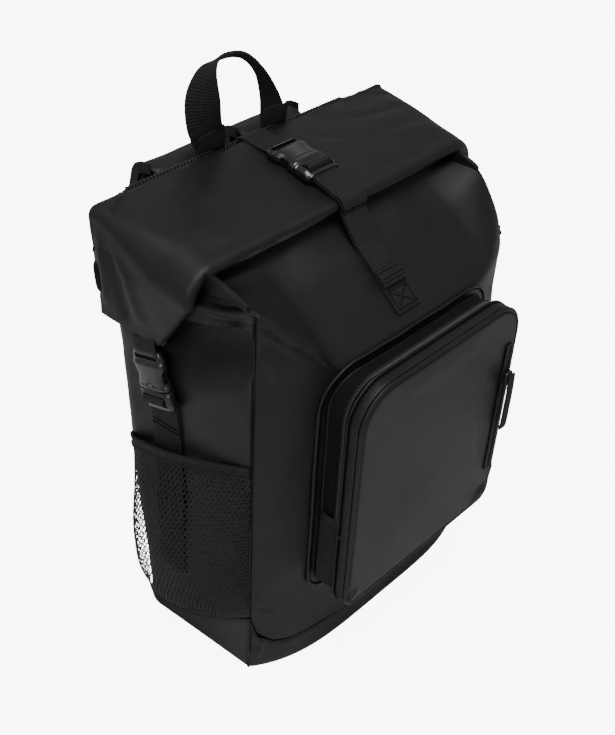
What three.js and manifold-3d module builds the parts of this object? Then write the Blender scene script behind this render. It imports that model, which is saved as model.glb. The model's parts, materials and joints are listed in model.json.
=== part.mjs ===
// A rolltop backpack standing on its base, in millimetres, with +Z up and the wearer's back at +Y.
// The origin is at the middle of the base, on the plane that the bag stands on.
import * as THREE from "three";
import { mergeVertices } from "three/addons/utils/BufferGeometryUtils.js";
import Module from "manifold-3d";

const wasm = await Module();
wasm.setup();

// Driving sizes
const CLEAR = 0.3;
const CLOTH = 2;
const bag = {
  frontWidth: 286,
  backWidth: 303,
  seamY: -50,
  seamRise: 66,
  frontBow: 26,
  backY: 76,
  backLean: 28.5,
  cornerRadius: 20,
  seamTopLeft: 369,
  seamTopRight: 318,
  puffRight: 18,
  slopeStart: 304,
  sideTurn: 348,
  mouthInset: 10,
  baseEdge: 6,
};
const roll = { height: 391, drop: 12, crown: 2, thickness: 10, wall: 2.2, noseY: -2, bendRadius: 14 };
const ear = { tipY: 33, tipZ: 304, heelY: 96, heelZ: 305, thickness: 7, ripple: 2, webbingInset: 1 };
const pad = { halfWidth: 130, bottom: 46, top: 388, thickness: 9.5, groove: 3 };
const pocket = {
  width: 190,
  bottom: 88,
  top: 303,
  frontY: -110,
  topRadius: 32,
  bottomRadius: 12,
  rim: 15,
  wall: 2,
  edgeRound: 3,
  gussetTop: 170,
};
const flange = { margin: 5, width: 12, thickness: 3 };
const zip = { inset: 4, tape: 1.6, coilWidth: 6, coilHeight: 1.5, coilGap: 2 };
const zipSlider = { length: 11, width: 8, height: 4, aboveGusset: 18 };
const zipPull = { length: 52, width: 8, thickness: 2 };
const slipZip = { x: 84.5, top: 263, bottom: 128, width: 9, lip: 2.2, thickness: 1.6, sliderZ: 231 };
const slipPull = { length: 60, width: 9, thickness: 2.4 };
const net = {
  frontHem: 222,
  backHem: 172,
  backMargin: 8,
  bulge: 30,
  thickness: 1.4,
  columns: 7,
  rows: 8,
  cell: 13,
  seamGap: 2,
  frontGap: 1,
};
const netHoles = { sides: 6, stagger: 0.25, margin: 0.05, first: 0.7, spare: 0.4 };
const hem = { height: 12, thickness: 2.6 };
const webbing = { width: 25, thickness: 1.8 };
const sideWebbing = { width: 30, y: 34, top: 258, lowerEnd: 70 };
const buckle = {
  width: 34,
  femaleLength: 32,
  maleLength: 16,
  thickness: 9,
  wall: 2,
  socketDepth: 20,
  slot: 3.4,
  notchFrom: 6,
  notchTo: 16,
  notchEase: 3,
  waistIn: 2.5,
  shoulder: 8.84,
  corner: 2,
  slotEase: 1,
};
const prong = { width: 3, headWidth: 4, headLength: 7, root: 1, tipGap: 2, sideGap: 2.5 };
const topBuckle = { y: 42, x: 4, lift: 1 };
const sideBuckle = { y: 38, z: 264, tilt: 18 };
const anchor = { endY: -67, freeEndY: -47, layer: 2.2 };
const ease = { clip: 1, clipGap: 1.2, flap: 0.4, nose: 0.5 };
const handle = { width: 28, thickness: 2.4, halfSpan: 34, rise: 82, depthShare: 0.55, steps: 3 };
const strap = {
  width: 72,
  endWidth: 50,
  thickness: 10,
  topX: 45,
  endX: 82,
  topZ: 391,
  endZ: 140,
  stand: 30,
  taperFrom: 0.3,
};
const adjuster = { width: 34, length: 26, thickness: 5, bar: 4 };
const tab = { inset: 15, z: 28, width: 26, length: 26, thickness: 3 };

// Tables, with heights and depths as shares of the sizes that they follow
const FRONT_MARGIN = [0, 0.2, 0.5, 0.82, 1];
const SIDE_COLUMNS = [0.16, 0.38, 0.62, 0.86];
const BACK_COLUMNS = [0.66, 0.25, -0.25, -0.66];
const CORNER_STEPS = [0.1, 0.5, 0.9];
const BODY_ROWS = [0, 0.3, 0.62, 0.86, 1];
const SIDE_SEAM = [
  { depth: 0, rise: 1 },
  { depth: 0.25, rise: 0.68 },
  { depth: 0.61, rise: 0.36 },
  { depth: 0.92, rise: 0.2 },
  { depth: 1, rise: 0.17 },
];
const FRONT_SEAM = [
  { margin: 0.2, rise: 0.42 },
  { margin: 0.5, rise: 0.47 },
  { margin: 0.82, rise: 0.64 },
  { margin: 1, rise: 1 },
];
const SIDE_TURN = [
  { depth: 0, rise: 1 },
  { depth: 0.16, rise: 0.5 },
  { depth: 0.38, rise: 0.15 },
  { depth: 1, rise: 0 },
];
const NET_BULGE = [
  { height: 0, stand: 0 },
  { height: 0.2, stand: 0.62 },
  { height: 0.45, stand: 1 },
  { height: 0.75, stand: 0.86 },
  { height: 1, stand: 0.5 },
];
const NET_COLUMNS = [0, 0.07, 0.2, 0.35, 0.5, 0.65, 0.8, 0.93, 1];
const NET_ROWS = [0, 0.08, 0.2, 0.45, 0.75, 1];
const PAD_COLUMNS = [-1, -0.86, -0.3, -0.12, 0.12, 0.3, 0.86, 1];
const PAD_ROWS = [0, 0.04, 0.35, 0.7, 0.96, 1];
const HANDLE_PATH = [
  { x: -1, z: 0, turn: 0 },
  { x: -1, z: 0.06, turn: 4 },
  { x: -1.22, z: 0.32, turn: 25 },
  { x: -1.21, z: 0.62, turn: 45 },
  { x: -0.87, z: 0.88, turn: 60 },
  { x: -0.23, z: 1, turn: 75 },
  { x: 0.47, z: 0.88, turn: 70 },
  { x: 0.91, z: 0.6, turn: 50 },
  { x: 1.06, z: 0.32, turn: 20 },
  { x: 1, z: 0.06, turn: 4 },
  { x: 1, z: 0, turn: 0 },
];
const STRAP_PATH = [
  { fall: 0.1, stand: 0, out: 0 },
  { fall: 0.03, stand: 0, out: 0 },
  { fall: 0, stand: 0.2, out: 0.01 },
  { fall: 0.012, stand: 0.53, out: 0.03 },
  { fall: 0.06, stand: 0.73, out: 0.08 },
  { fall: 0.25, stand: 0.9, out: 0.3 },
  { fall: 0.5, stand: 1, out: 0.55 },
  { fall: 0.75, stand: 0.87, out: 0.8 },
  { fall: 1, stand: 0.5, out: 1 },
];
// The middle stretch of the top strap's lower layer, as shares of its run up to the roll's edge.
const SLOPE_SHARES = [0, 0.42, 0.77];

const lerp = THREE.MathUtils.lerp;
const point = (x, y, z) => new THREE.Vector3(x, y, z);

// The value of column `to` where column `from` is at `at`, between the rows of a table.
function read(table, from, to, at) {
  const last = table.length - 1;
  if (at <= table[0][from]) return table[0][to];
  if (at >= table[last][from]) return table[last][to];
  const i = table.findIndex((row) => row[from] > at);
  const [a, b] = [table[i - 1], table[i]];
  return lerp(a[to], b[to], (at - a[from]) / (b[from] - a[from]));
}

// Meshes from points

function closedGeometry(triangles) {
  const sound = triangles.filter(([a, b, c]) => {
    const apart = Math.min(a.distanceTo(b), b.distanceTo(c), c.distanceTo(a));
    return apart > 1e-4;
  });
  const volume = sound.reduce((sum, [a, b, c]) => sum + a.dot(b.clone().cross(c)), 0);
  const turned = volume < 0 ? sound.map(([a, b, c]) => [a, c, b]) : sound;
  const geometry = new THREE.BufferGeometry().setFromPoints(turned.flat());
  geometry.computeVertexNormals();
  return geometry;
}

const quad = (a, b, c, d) => [
  [a, b, c],
  [a, c, d],
];

// A wall between two grids of points. `wrap` joins the last column to the first, and `cap` closes
// the last row of each grid with a fan to its own centre.
function wallBetween(outer, inner, { wrap = false, cap = null } = {}) {
  const triangles = [];
  const rows = outer.length;
  const columns = outer[0].length;
  const spans = wrap ? columns : columns - 1;
  const next = (j) => (j + 1) % columns;
  for (let i = 0; i < rows - 1; i++) {
    for (let j = 0; j < spans; j++) {
      const k = next(j);
      triangles.push(...quad(outer[i][j], outer[i][k], outer[i + 1][k], outer[i + 1][j]));
      triangles.push(...quad(inner[i + 1][j], inner[i + 1][k], inner[i][k], inner[i][j]));
    }
  }
  const end = rows - 1;
  for (let j = 0; j < spans; j++) {
    const k = next(j);
    triangles.push(...quad(inner[0][j], inner[0][k], outer[0][k], outer[0][j]));
    if (cap) {
      triangles.push([outer[end][j], outer[end][k], cap.outer]);
      triangles.push([inner[end][k], inner[end][j], cap.inner]);
    } else {
      triangles.push(...quad(outer[end][j], outer[end][k], inner[end][k], inner[end][j]));
    }
  }
  if (!wrap) {
    const edge = columns - 1;
    for (let i = 0; i < end; i++) {
      triangles.push(...quad(outer[i][0], outer[i + 1][0], inner[i + 1][0], inner[i][0]));
      triangles.push(...quad(outer[i + 1][edge], outer[i][edge], inner[i][edge], inner[i + 1][edge]));
    }
  }
  return closedGeometry(triangles);
}

// A solid through a row of closed rings, with flat ends. The second half of each ring lies behind
// the first, and its faces are split along the same diagonals, so that a twisted band keeps its wall.
function loft(rings) {
  const triangles = [];
  const count = rings[0].length;
  for (let i = 0; i < rings.length - 1; i++) {
    for (let j = 0; j < count; j++) {
      const k = (j + 1) % count;
      const corners = [rings[i][j], rings[i][k], rings[i + 1][k], rings[i + 1][j]];
      const [a, b, c, d] = corners;
      triangles.push(...(j < count / 2 ? quad(a, b, c, d) : quad(b, c, d, a)));
    }
  }
  const [first, last] = [rings[0], rings[rings.length - 1]];
  for (let j = 1; j < count - 1; j++) {
    triangles.push([first[0], first[j + 1], first[j]]);
    triangles.push([last[0], last[j], last[j + 1]]);
  }
  return closedGeometry(triangles);
}

// The grid moved along its own normals.
function offsetGrid(grid, distance, wrap) {
  const rows = grid.length;
  const columns = grid[0].length;
  const column = (j) => (wrap ? (j + columns) % columns : THREE.MathUtils.clamp(j, 0, columns - 1));
  return grid.map((row, i) =>
    row.map((p, j) => {
      const up = grid[Math.min(i + 1, rows - 1)][j].clone().sub(grid[Math.max(i - 1, 0)][j]);
      const along = row[column(j + 1)].clone().sub(row[column(j - 1)]);
      return p.clone().addScaledVector(along.cross(up).normalize(), distance);
    }),
  );
}

// A flat or padded band along stations that each give a middle, a direction across and a width.
// Its ends are square to its run, unless a station is cut along its own direction across.
function ribbon(stations, thickness, rounded = false) {
  const rings = stations.map(({ at, across, width, cutAlong }, i) => {
    const before = stations[Math.max(i - 1, 0)].at;
    const after = stations[Math.min(i + 1, stations.length - 1)].at;
    const along = after.clone().sub(before).normalize();
    const slant = cutAlong ? 0 : across.dot(along);
    const side = across.clone().addScaledVector(along, -slant).normalize();
    const normal = side.clone().cross(along).normalize();
    const half = thickness / 2;
    const flat = rounded ? 1 - (2 * half) / width : 1;
    const low = rounded ? 0.45 : 1;
    const outline = [
      [-flat, -1],
      [flat, -1],
      [1, -low],
      [1, low],
      [flat, 1],
      [-flat, 1],
      [-1, low],
      [-1, -low],
    ];
    const corners = rounded ? outline : [outline[0], outline[1], outline[4], outline[5]];
    return corners.map(([a, b]) =>
      at
        .clone()
        .addScaledVector(side, (a * width) / 2)
        .addScaledVector(normal, b * half),
    );
  });
  return loft(rings);
}

function box(x, y, z, centre) {
  return new THREE.BoxGeometry(x, y, z).translate(centre.x, centre.y, centre.z);
}

function solid(geometry) {
  const bare = geometry.clone();
  bare.deleteAttribute("normal");
  bare.deleteAttribute("uv");
  const merged = mergeVertices(bare, 1e-4);
  return new wasm.Manifold(
    new wasm.Mesh({
      numProp: 3,
      vertProperties: merged.attributes.position.array,
      triVerts: new Uint32Array(merged.index.array),
    }),
  );
}

function geometryOf(manifold) {
  const { vertProperties, triVerts } = manifold.getMesh();
  const geometry = new THREE.BufferGeometry();
  geometry.setAttribute("position", new THREE.BufferAttribute(new Float32Array(vertProperties), 3));
  geometry.setIndex(new THREE.BufferAttribute(new Uint32Array(triVerts), 1));
  return geometry;
}

function cut(body, tools) {
  return geometryOf(tools.reduce((left, tool) => left.subtract(solid(tool)), solid(body)));
}

function join(parts) {
  const [first, ...others] = parts.map(solid);
  return geometryOf(others.reduce((sum, part) => sum.add(part), first));
}

const finishes = {
  cloth: { color: 0x141416, roughness: 0.62, metalness: 0 },
  webbing: { color: 0x101012, roughness: 0.8, metalness: 0 },
  mesh: { color: 0x0e0e10, roughness: 0.9, metalness: 0 },
  plastic: { color: 0x1b1b1e, roughness: 0.35, metalness: 0 },
  zipper: { color: 0x0c0c0e, roughness: 0.5, metalness: 0 },
};

const backpack = new THREE.Group();

function add(name, finish, geometry, parent = backpack) {
  const mesh = new THREE.Mesh(geometry, new THREE.MeshStandardMaterial(finishes[finish]));
  mesh.name = name;
  parent.add(mesh);
  return mesh;
}

// The outer faces of the bag

const backFace = (z) => bag.backY + (bag.backLean * z) / roll.height;
const backTop = backFace(roll.height - roll.thickness);
const frontHalf = bag.frontWidth / 2;

// The front panel's columns, as shares of its half width. Those of its middle lie behind the pocket,
// and those of FRONT_MARGIN run from the pocket's edge to the side seam.
const pocketShare = (pocket.width / 2 + flange.margin + CLEAR) / frontHalf;
const marginShares = FRONT_MARGIN.map((share) => lerp(pocketShare, 1, share));
const middleShares = [-pocketShare / 2, 0, pocketShare / 2];
const frontShares = [...marginShares.map((s) => -s).reverse(), ...middleShares, ...marginShares];
const bowAt = (share) => bag.seamY - bag.frontBow * (1 - Math.abs(share) ** 4);
const panelTable = frontShares.map((share) => ({ x: share * frontHalf, y: bowAt(share) }));
const frontFace = (x) => read(panelTable, "x", "y", x);
const sideDepth = (z) => backFace(z) - bag.cornerRadius - bag.seamY;
const depthShare = (y, z) => THREE.MathUtils.clamp((y - bag.seamY) / sideDepth(z), 0, 1);
const seamTop = (side) => (side < 0 ? bag.seamTopLeft : bag.seamTopRight);

// The half width of the bag at a depth and a height, with its back corner rounded off.
function sideHalf(y, z) {
  const r = bag.cornerRadius;
  const past = y - (backFace(z) - r);
  if (past <= 0) return lerp(frontHalf, bag.backWidth / 2, depthShare(y, z));
  return bag.backWidth / 2 - r + Math.sqrt(Math.max(0, r * r - Math.min(past, r) ** 2));
}
const rollTop = (y) => {
  const share = THREE.MathUtils.clamp((backTop - y) / (backTop - roll.noseY), 0, 1);
  return roll.height - roll.drop * share + roll.crown * Math.sin(Math.PI * share);
};
const rollUnder = (y) => {
  const share = THREE.MathUtils.clamp((backTop - y) / (backTop - roll.noseY), 0, 1);
  return roll.height - roll.drop * share - roll.thickness;
};

// One column of the bag's wall: its place at a height, the heights of its base seam and of the
// fold where it turns in, and its point on the mouth under the roll.
function frontColumn(share) {
  const margin = Math.max(0, Math.abs(share) - pocketShare) / (1 - pocketShare);
  const x = share * frontHalf;
  const mouthY = roll.noseY + bag.mouthInset;
  return {
    at: () => point(x, frontFace(x), 0),
    seam: bag.seamRise * read(FRONT_SEAM, "margin", "rise", margin),
    turn: lerp(bag.slopeStart, seamTop(share), margin),
    puff: share > 0 ? bag.puffRight * margin : 0,
    mouth: point(share * (frontHalf - bag.mouthInset / 2), mouthY, rollUnder(mouthY) - CLEAR),
  };
}

function sideColumn(side, share) {
  const from = roll.noseY + bag.mouthInset;
  const mouthY = lerp(from, backTop - bag.cornerRadius, (share + 0.15) / 1.15);
  const half = lerp(frontHalf, bag.backWidth / 2, share);
  return {
    at: (z) => point(side * half, bag.seamY + share * sideDepth(z), 0),
    seam: bag.seamRise * read(SIDE_SEAM, "depth", "rise", share),
    turn: lerp(bag.sideTurn, seamTop(side), read(SIDE_TURN, "depth", "rise", share)),
    mouth: point(side * (half - bag.mouthInset), mouthY, rollUnder(mouthY) - CLEAR),
  };
}

function cornerColumn(side, share) {
  const angle = (share * Math.PI) / 2;
  const r = bag.cornerRadius;
  const centreX = bag.backWidth / 2 - r;
  const arc = (radius, z) => {
    const x = side * (centreX + radius * Math.cos(angle));
    return point(x, backFace(z) - r + radius * Math.sin(angle), 0);
  };
  const mouth = arc(r - bag.mouthInset * (1 - share), roll.height - roll.thickness);
  mouth.z = rollUnder(mouth.y) - CLEAR;
  return {
    at: (z) => arc(r, z),
    seam: bag.seamRise * SIDE_SEAM[SIDE_SEAM.length - 1].rise,
    turn: bag.sideTurn,
    mouth,
  };
}

function backColumn(share) {
  const x = share * (bag.backWidth / 2 - bag.cornerRadius);
  return {
    at: (z) => point(x, backFace(z), 0),
    seam: bag.seamRise * SIDE_SEAM[SIDE_SEAM.length - 1].rise,
    turn: bag.sideTurn,
    mouth: point(x, backTop, rollUnder(backTop) - CLEAR),
  };
}

const columns = [
  ...frontShares.map(frontColumn),
  ...SIDE_COLUMNS.map((share) => sideColumn(1, share)),
  ...CORNER_STEPS.map((share) => cornerColumn(1, share)),
  ...BACK_COLUMNS.map(backColumn),
  ...[...CORNER_STEPS].reverse().map((share) => cornerColumn(-1, share)),
  ...[...SIDE_COLUMNS].reverse().map((share) => sideColumn(-1, share)),
];

const onWall = (column, z) => column.at(z).setZ(z);

function bodyShell() {
  const walls = BODY_ROWS.map((share) =>
    columns.map((column) => onWall(column, lerp(column.seam + CLEAR, column.turn, share))),
  );
  const shoulder = columns.map((column) => {
    const middle = onWall(column, column.turn).lerp(column.mouth, 0.5);
    return middle.setZ(middle.z + (column.puff ?? 0));
  });
  const mouth = columns.map((column) => column.mouth);
  const outer = [...walls, shoulder, mouth];
  add("body_shell", "cloth", wallBetween(outer, offsetGrid(outer, -CLOTH, true), { wrap: true }));
}

function basePanel() {
  const inset = (p, distance) => {
    const inward = point(-p.x, -p.y, 0).normalize();
    return p.addScaledVector(inward, distance);
  };
  const rows = [
    { share: 1, in: 0 },
    { share: 0.4, in: 0.1 },
    { share: 0, in: 1 },
  ];
  const outer = rows.map((row) =>
    columns.map((column) => {
      const p = onWall(column, (column.seam - CLEAR) * row.share);
      return inset(p, bag.baseEdge * row.in);
    }),
  );
  const inner = offsetGrid(outer, CLOTH, true);
  inner[rows.length - 1].forEach((p) => p.setZ(CLOTH));
  const cap = { outer: point(0, 0, 0), inner: point(0, 0, CLOTH) };
  add("base_panel", "cloth", wallBetween(outer, inner, { wrap: true, cap }));
}

// The padded back, with a shallow channel down the middle.
function backPanel() {
  const near = [];
  const far = [];
  const channelHalf = Math.min(...PAD_COLUMNS.map(Math.abs));
  for (const share of PAD_ROWS) {
    const z = lerp(pad.bottom, pad.top, share);
    const y = backFace(z) + CLEAR;
    const ends = share === 0 || share === 1;
    near.push(PAD_COLUMNS.map((a) => point(a * pad.halfWidth, y, z)));
    far.push(
      PAD_COLUMNS.map((a) => {
        const edge = Math.abs(a) === 1;
        const channel = Math.abs(a) === channelHalf && !ends ? pad.groove : 0;
        const depth = pad.thickness * (edge ? 0.5 : 1) - channel;
        return point(a * pad.halfWidth, y + depth, z);
      }),
    );
  }
  add("back_panel", "mesh", wallBetween(far, near));
}

// The rolled mouth: a flattened tube of cloth that lies over the top and hangs down at both ends.

const earFace = (y) => {
  const flatY = Math.min(y, ear.heelY - bag.cornerRadius);
  return sideHalf(flatY, ear.tipZ) + CLEAR + ear.thickness;
};
const earEdge = [
  { y: ear.tipY, z: ear.tipZ },
  { y: ear.heelY, z: ear.heelZ },
];

function flatLoop(front, back, thickness, inset) {
  const r = thickness / 2;
  const small = r - inset;
  const [near, far] = [front + r, back - r];
  const shares = [1, 0.75, 0.5, 0.25, 0];
  const turns = [0.25, 0.5, 0.75].map((share) => share * Math.PI);
  return [
    ...shares.map((share) => ({ y: lerp(near, far, share), depth: r - small })),
    ...turns.map((a) => ({ y: near - small * Math.sin(a), depth: r - small * Math.cos(a) })),
    ...[...shares].reverse().map((share) => ({ y: lerp(near, far, share), depth: r + small })),
    ...turns.map((a) => ({ y: far + small * Math.sin(a), depth: r + small * Math.cos(a) })),
  ];
}

function rollStations() {
  const half = earFace(backTop) - roll.bendRadius;
  const top = [0, 0.5, 1].map((share) => ({ x: half * share, turn: 0, fall: 0 }));
  const bend = [0.33, 0.67, 1].map((turn) => ({ x: half, turn, fall: 0 }));
  const fall = [0.3, 0.65, 1].map((share) => ({ x: half, turn: 1, fall: share }));
  return [...top, ...bend, ...fall];
}

function rollRing(side, station, inset) {
  const { x, turn, fall } = station;
  const thickness = lerp(roll.thickness, ear.thickness, Math.max(fall * 3, 0) > 1 ? 1 : fall * 3);
  const front = lerp(roll.noseY, ear.tipY, fall);
  const back = lerp(backTop, ear.heelY, fall);
  const angle = (turn * Math.PI) / 2;
  return flatLoop(front, back, thickness, inset).map(({ y, depth }) => {
    const radius = roll.bendRadius - depth;
    const bendZ = rollTop(y) - roll.bendRadius;
    const share = (y - front) / (back - front);
    const endZ = lerp(ear.tipZ, ear.heelZ, share);
    const ripple = fall > 0 ? ear.ripple * fall * Math.sin(2 * Math.PI * share) ** 2 : 0;
    const outwards = earFace(y) - earFace(backTop);
    const reach = x + radius * Math.sin(angle) + (turn === 1 ? ripple : 0) + outwards * fall;
    const z = lerp(bendZ + radius * Math.cos(angle), endZ, fall);
    return point(side * reach, y, z);
  });
}

function rollTopPiece() {
  const stations = rollStations();
  const rings = (inset) => [
    ...[...stations].reverse().map((station) => rollRing(-1, station, inset)),
    ...stations.slice(1).map((station) => rollRing(1, station, inset)),
  ];
  add("roll_top", "cloth", wallBetween(rings(0), rings(roll.wall), { wrap: true }));
}

// The front pocket

// The pocket's outline, moved in by `inset`, from the left gusset seam over the top and round.
function pocketOutline(inset, part = "all") {
  const half = pocket.width / 2 - inset;
  const [low, high] = [pocket.bottom + inset, pocket.top - inset];
  const arc = (cx, cz, r, from, to, steps) =>
    Array.from({ length: steps + 1 }, (_, i) => {
      const a = THREE.MathUtils.degToRad(lerp(from, to, i / steps));
      return [cx + r * Math.cos(a), cz + r * Math.sin(a)];
    });
  const big = Math.max(1, pocket.topRadius - inset);
  const small = Math.max(1, pocket.bottomRadius - inset);
  const spread = middleShares.map((share) => share * frontHalf);
  const upper = [
    [-half, pocket.gussetTop + CLEAR],
    ...arc(-half + big, high - big, big, 180, 90, 4),
    ...spread.map((x) => [x, high]),
    ...arc(half - big, high - big, big, 90, 0, 4),
    [half, pocket.gussetTop + CLEAR],
  ];
  const lower = [
    [half, pocket.gussetTop],
    ...arc(half - small, low + small, small, 0, -90, 2),
    ...spread.map((x) => [-x, low]),
    ...arc(-half + small, low + small, small, -90, -180, 2),
    [-half, pocket.gussetTop],
  ];
  if (part === "upper") return upper;
  if (part === "lower") return lower;
  return [...upper, ...lower];
}

// A band round the pocket, from `back(x)` to `front(x)`, between two insets of the outline.
function pocketBand(outerInset, innerInset, back, front, part) {
  const grid = (inset) => {
    const outline = pocketOutline(inset, part);
    return [back, front].map((y) => outline.map(([x, z]) => point(x, y(x), z)));
  };
  const wrap = part === "all";
  return wallBetween(grid(outerInset), grid(innerInset), { wrap });
}

const flangeFront = (x) => frontFace(x) - CLEAR - flange.thickness;

function frontPocket() {
  const onPanel = (x) => frontFace(x) - CLEAR;
  const margin = -flange.margin;
  const flangeBand = pocketBand(margin, margin + flange.width, onPanel, flangeFront, "all");
  add("pocket_flange", "cloth", flangeBand);

  const rimBack = pocket.frontY + pocket.rim;
  const onFlange = (x) => flangeFront(x) - CLEAR;
  const inside = () => rimBack - CLEAR - pocket.wall;
  const tape = pocketBand(zip.inset, zip.inset + zip.tape, onFlange, inside, "upper");
  add("pocket_zip_tape", "zipper", tape);
  const coilOut = zip.inset - CLEAR;
  const coilFront = () => rimBack + zip.coilGap;
  const coilBack = () => coilFront() + zip.coilWidth;
  const coil = pocketBand(coilOut - zip.coilHeight, coilOut, coilBack, coilFront, "upper");
  add("pocket_zip_coil", "zipper", coil);
  const gussetInset = pocket.wall + CLEAR;
  const lower = pocketBand(gussetInset, gussetInset + CLOTH, onFlange, inside, "lower");
  add("pocket_gusset", "cloth", lower);

  const rows = [
    { y: rimBack, inset: 0 },
    { y: pocket.frontY + pocket.edgeRound, inset: 0 },
    { y: pocket.frontY, inset: pocket.edgeRound },
  ];
  const ring = (y, inset) => pocketOutline(inset).map(([x, z]) => point(x, y, z));
  const outer = rows.map((row) => ring(row.y, row.inset));
  const w = pocket.wall;
  const inner = rows.map((row) => ring(Math.max(row.y, pocket.frontY + w), Math.max(row.inset, w)));
  inner[0] = ring(rimBack, w);
  const middleZ = (pocket.bottom + pocket.top) / 2;
  const cap = {
    outer: point(0, pocket.frontY, middleZ),
    inner: point(0, pocket.frontY + w, middleZ),
  };
  add("pocket_front", "cloth", wallBetween(outer, inner, { wrap: true, cap }));

  const coilMiddle = coilFront() + zip.coilWidth / 2;
  const coilFace = pocket.width / 2 - zip.inset + zip.coilHeight + CLEAR;
  const sliderX = coilFace + zipSlider.height / 2;
  const sliderZ = pocket.gussetTop + zipSlider.aboveGusset;
  const sliderAt = point(sliderX, coilMiddle, sliderZ);
  add("pocket_slider", "plastic", box(zipSlider.height, zipSlider.width, zipSlider.length, sliderAt));
  const pullX = sliderX + zipSlider.height / 2 + CLEAR + zipPull.thickness / 2;
  const pullAt = point(pullX, coilMiddle, sliderZ - zipPull.length / 2 + zipSlider.length / 2);
  add("pocket_pull", "webbing", box(zipPull.thickness, zipPull.width, zipPull.length, pullAt));
}

// The slip pocket's zip, set upright in the pocket front near its right edge.
function slipPocket() {
  const face = pocket.frontY - CLEAR;
  const length = slipZip.top - slipZip.bottom;
  const middleZ = (slipZip.top + slipZip.bottom) / 2;
  const at = point(slipZip.x, face - slipZip.thickness / 2, middleZ);
  const slot = slipZip.width - 2 * slipZip.lip;
  const plate = box(slipZip.width, slipZip.thickness, length, at);
  const hole = box(slot, slipZip.thickness * 3, length - 2 * slipZip.lip, at);
  add("slip_welt", "cloth", cut(plate, [hole]));
  const tooth = slot - 2 * CLEAR;
  const coilLength = length - 2 * slipZip.lip - 2 * CLEAR;
  add("slip_coil", "zipper", box(tooth, slipZip.thickness, coilLength, at));
  const sliderY = face - slipZip.thickness - CLEAR - zipSlider.height / 2;
  const sliderAt = point(slipZip.x, sliderY, slipZip.sliderZ);
  add("slip_slider", "plastic", box(zipSlider.width, zipSlider.height, zipSlider.length, sliderAt));
  const pullY = sliderY - zipSlider.height / 2 - CLEAR - slipPull.thickness / 2;
  const pullZ = slipZip.sliderZ + zipSlider.length / 2 - slipPull.length / 2;
  const pull = box(slipPull.width, slipPull.thickness, slipPull.length, point(slipZip.x, pullY, pullZ));
  add("slip_pull", "webbing", pull);
}

// The net pockets on the sides

const netFloor = (y) => {
  const seam = bag.seamRise * read(SIDE_SEAM, "depth", "rise", depthShare(y, 0));
  return seam + net.seamGap;
};
const netHem = (y) => lerp(net.frontHem, net.backHem, (y - bag.seamY) / (backTop - bag.seamY));

function netStand(across, height) {
  const swell = Math.sin(Math.PI * THREE.MathUtils.clamp(across, 0, 1)) ** 0.8;
  return swell * net.bulge * read(NET_BULGE, "height", "stand", height);
}

// A point of the net, from its front edge to its back edge and from its seam up to its hem.
function netPoint(side, across, height, depth) {
  const backEdge = (z) => backFace(z) - net.backMargin;
  const roughZ = lerp(netFloor(backEdge(0)), net.backHem, height);
  const y = lerp(bag.seamY + net.frontGap, backEdge(roughZ), across);
  const z = lerp(netFloor(y), netHem(y), height);
  const x = sideHalf(y, z) + CLEAR + netStand(across, height) + depth;
  return point(side * x, y, z);
}

function netPocket(side, name) {
  const row = (height, depth) => NET_COLUMNS.map((across) => netPoint(side, across, height, depth));
  const grid = (depth) => NET_ROWS.map((height) => row(height, depth));
  const sheet = wallBetween(grid(net.thickness), grid(0));
  const holes = [];
  const { sides, stagger, margin, first, spare } = netHoles;
  for (let i = 0; i < net.rows; i++) {
    for (let j = 0; j < net.columns; j++) {
      const shift = i % 2 ? stagger : -stagger;
      const across = lerp(margin, 1 - margin, (j + 0.5 + shift) / net.columns);
      const middle = netPoint(side, across, (i + first) / (net.rows + spare), 0);
      const hole = new THREE.CylinderGeometry(net.cell / 2, net.cell / 2, net.bulge * 2, sides);
      hole.rotateZ(Math.PI / 2);
      hole.translate(middle.x, middle.y, middle.z);
      holes.push(hole);
    }
  }
  add("net_pocket_" + name, "mesh", cut(sheet, holes));

  const band = (depth) =>
    [0, 1].map((level) => row(1, depth).map((p) => p.setZ(p.z + CLEAR + level * hem.height)));
  add("net_hem_" + name, "webbing", wallBetween(band(hem.thickness), band(0)));
}

// Side-release buckles lie along local Y, with the clip's mouth at y = 0 and its underside at z = 0.

function plate(outline, thickness) {
  const shape = new THREE.Shape(outline.map(([x, y]) => new THREE.Vector2(x, y)));
  return new THREE.ExtrudeGeometry(shape, { depth: thickness, bevelEnabled: false });
}

function femaleBuckle() {
  const half = buckle.width / 2;
  const waist = half - buckle.waistIn;
  const long = buckle.femaleLength;
  const shoulder = long - buckle.shoulder;
  const body = plate(
    [
      [-half, 0],
      [half, 0],
      [half, buckle.notchFrom],
      [waist, buckle.notchFrom + buckle.notchEase],
      [waist, buckle.notchTo - buckle.notchEase],
      [half, buckle.notchTo],
      [half, shoulder],
      [waist, long],
      [-waist, long],
      [-half, shoulder],
      [-half, buckle.notchTo],
      [-waist, buckle.notchTo - buckle.notchEase],
      [-waist, buckle.notchFrom + buckle.notchEase],
      [-half, buckle.notchFrom],
    ],
    buckle.thickness,
  );
  const middle = buckle.thickness / 2;
  const room = buckle.thickness - 2 * buckle.wall;
  const inside = buckle.width - 4 * buckle.wall;
  const socket = box(inside, buckle.socketDepth * 2, room, point(0, 0, middle));
  const notchY = (buckle.notchFrom + buckle.notchTo) / 2;
  const notchLength = buckle.notchTo - buckle.notchFrom;
  const notches = box(buckle.width * 2, notchLength, room, point(0, notchY, middle));
  const slotY = long - buckle.slot * 1.5;
  const slotWidth = webbing.width + buckle.slotEase;
  const slot = box(slotWidth, buckle.slot, buckle.thickness * 3, point(0, slotY, middle));
  return cut(body, [socket, notches, slot]);
}

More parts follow.
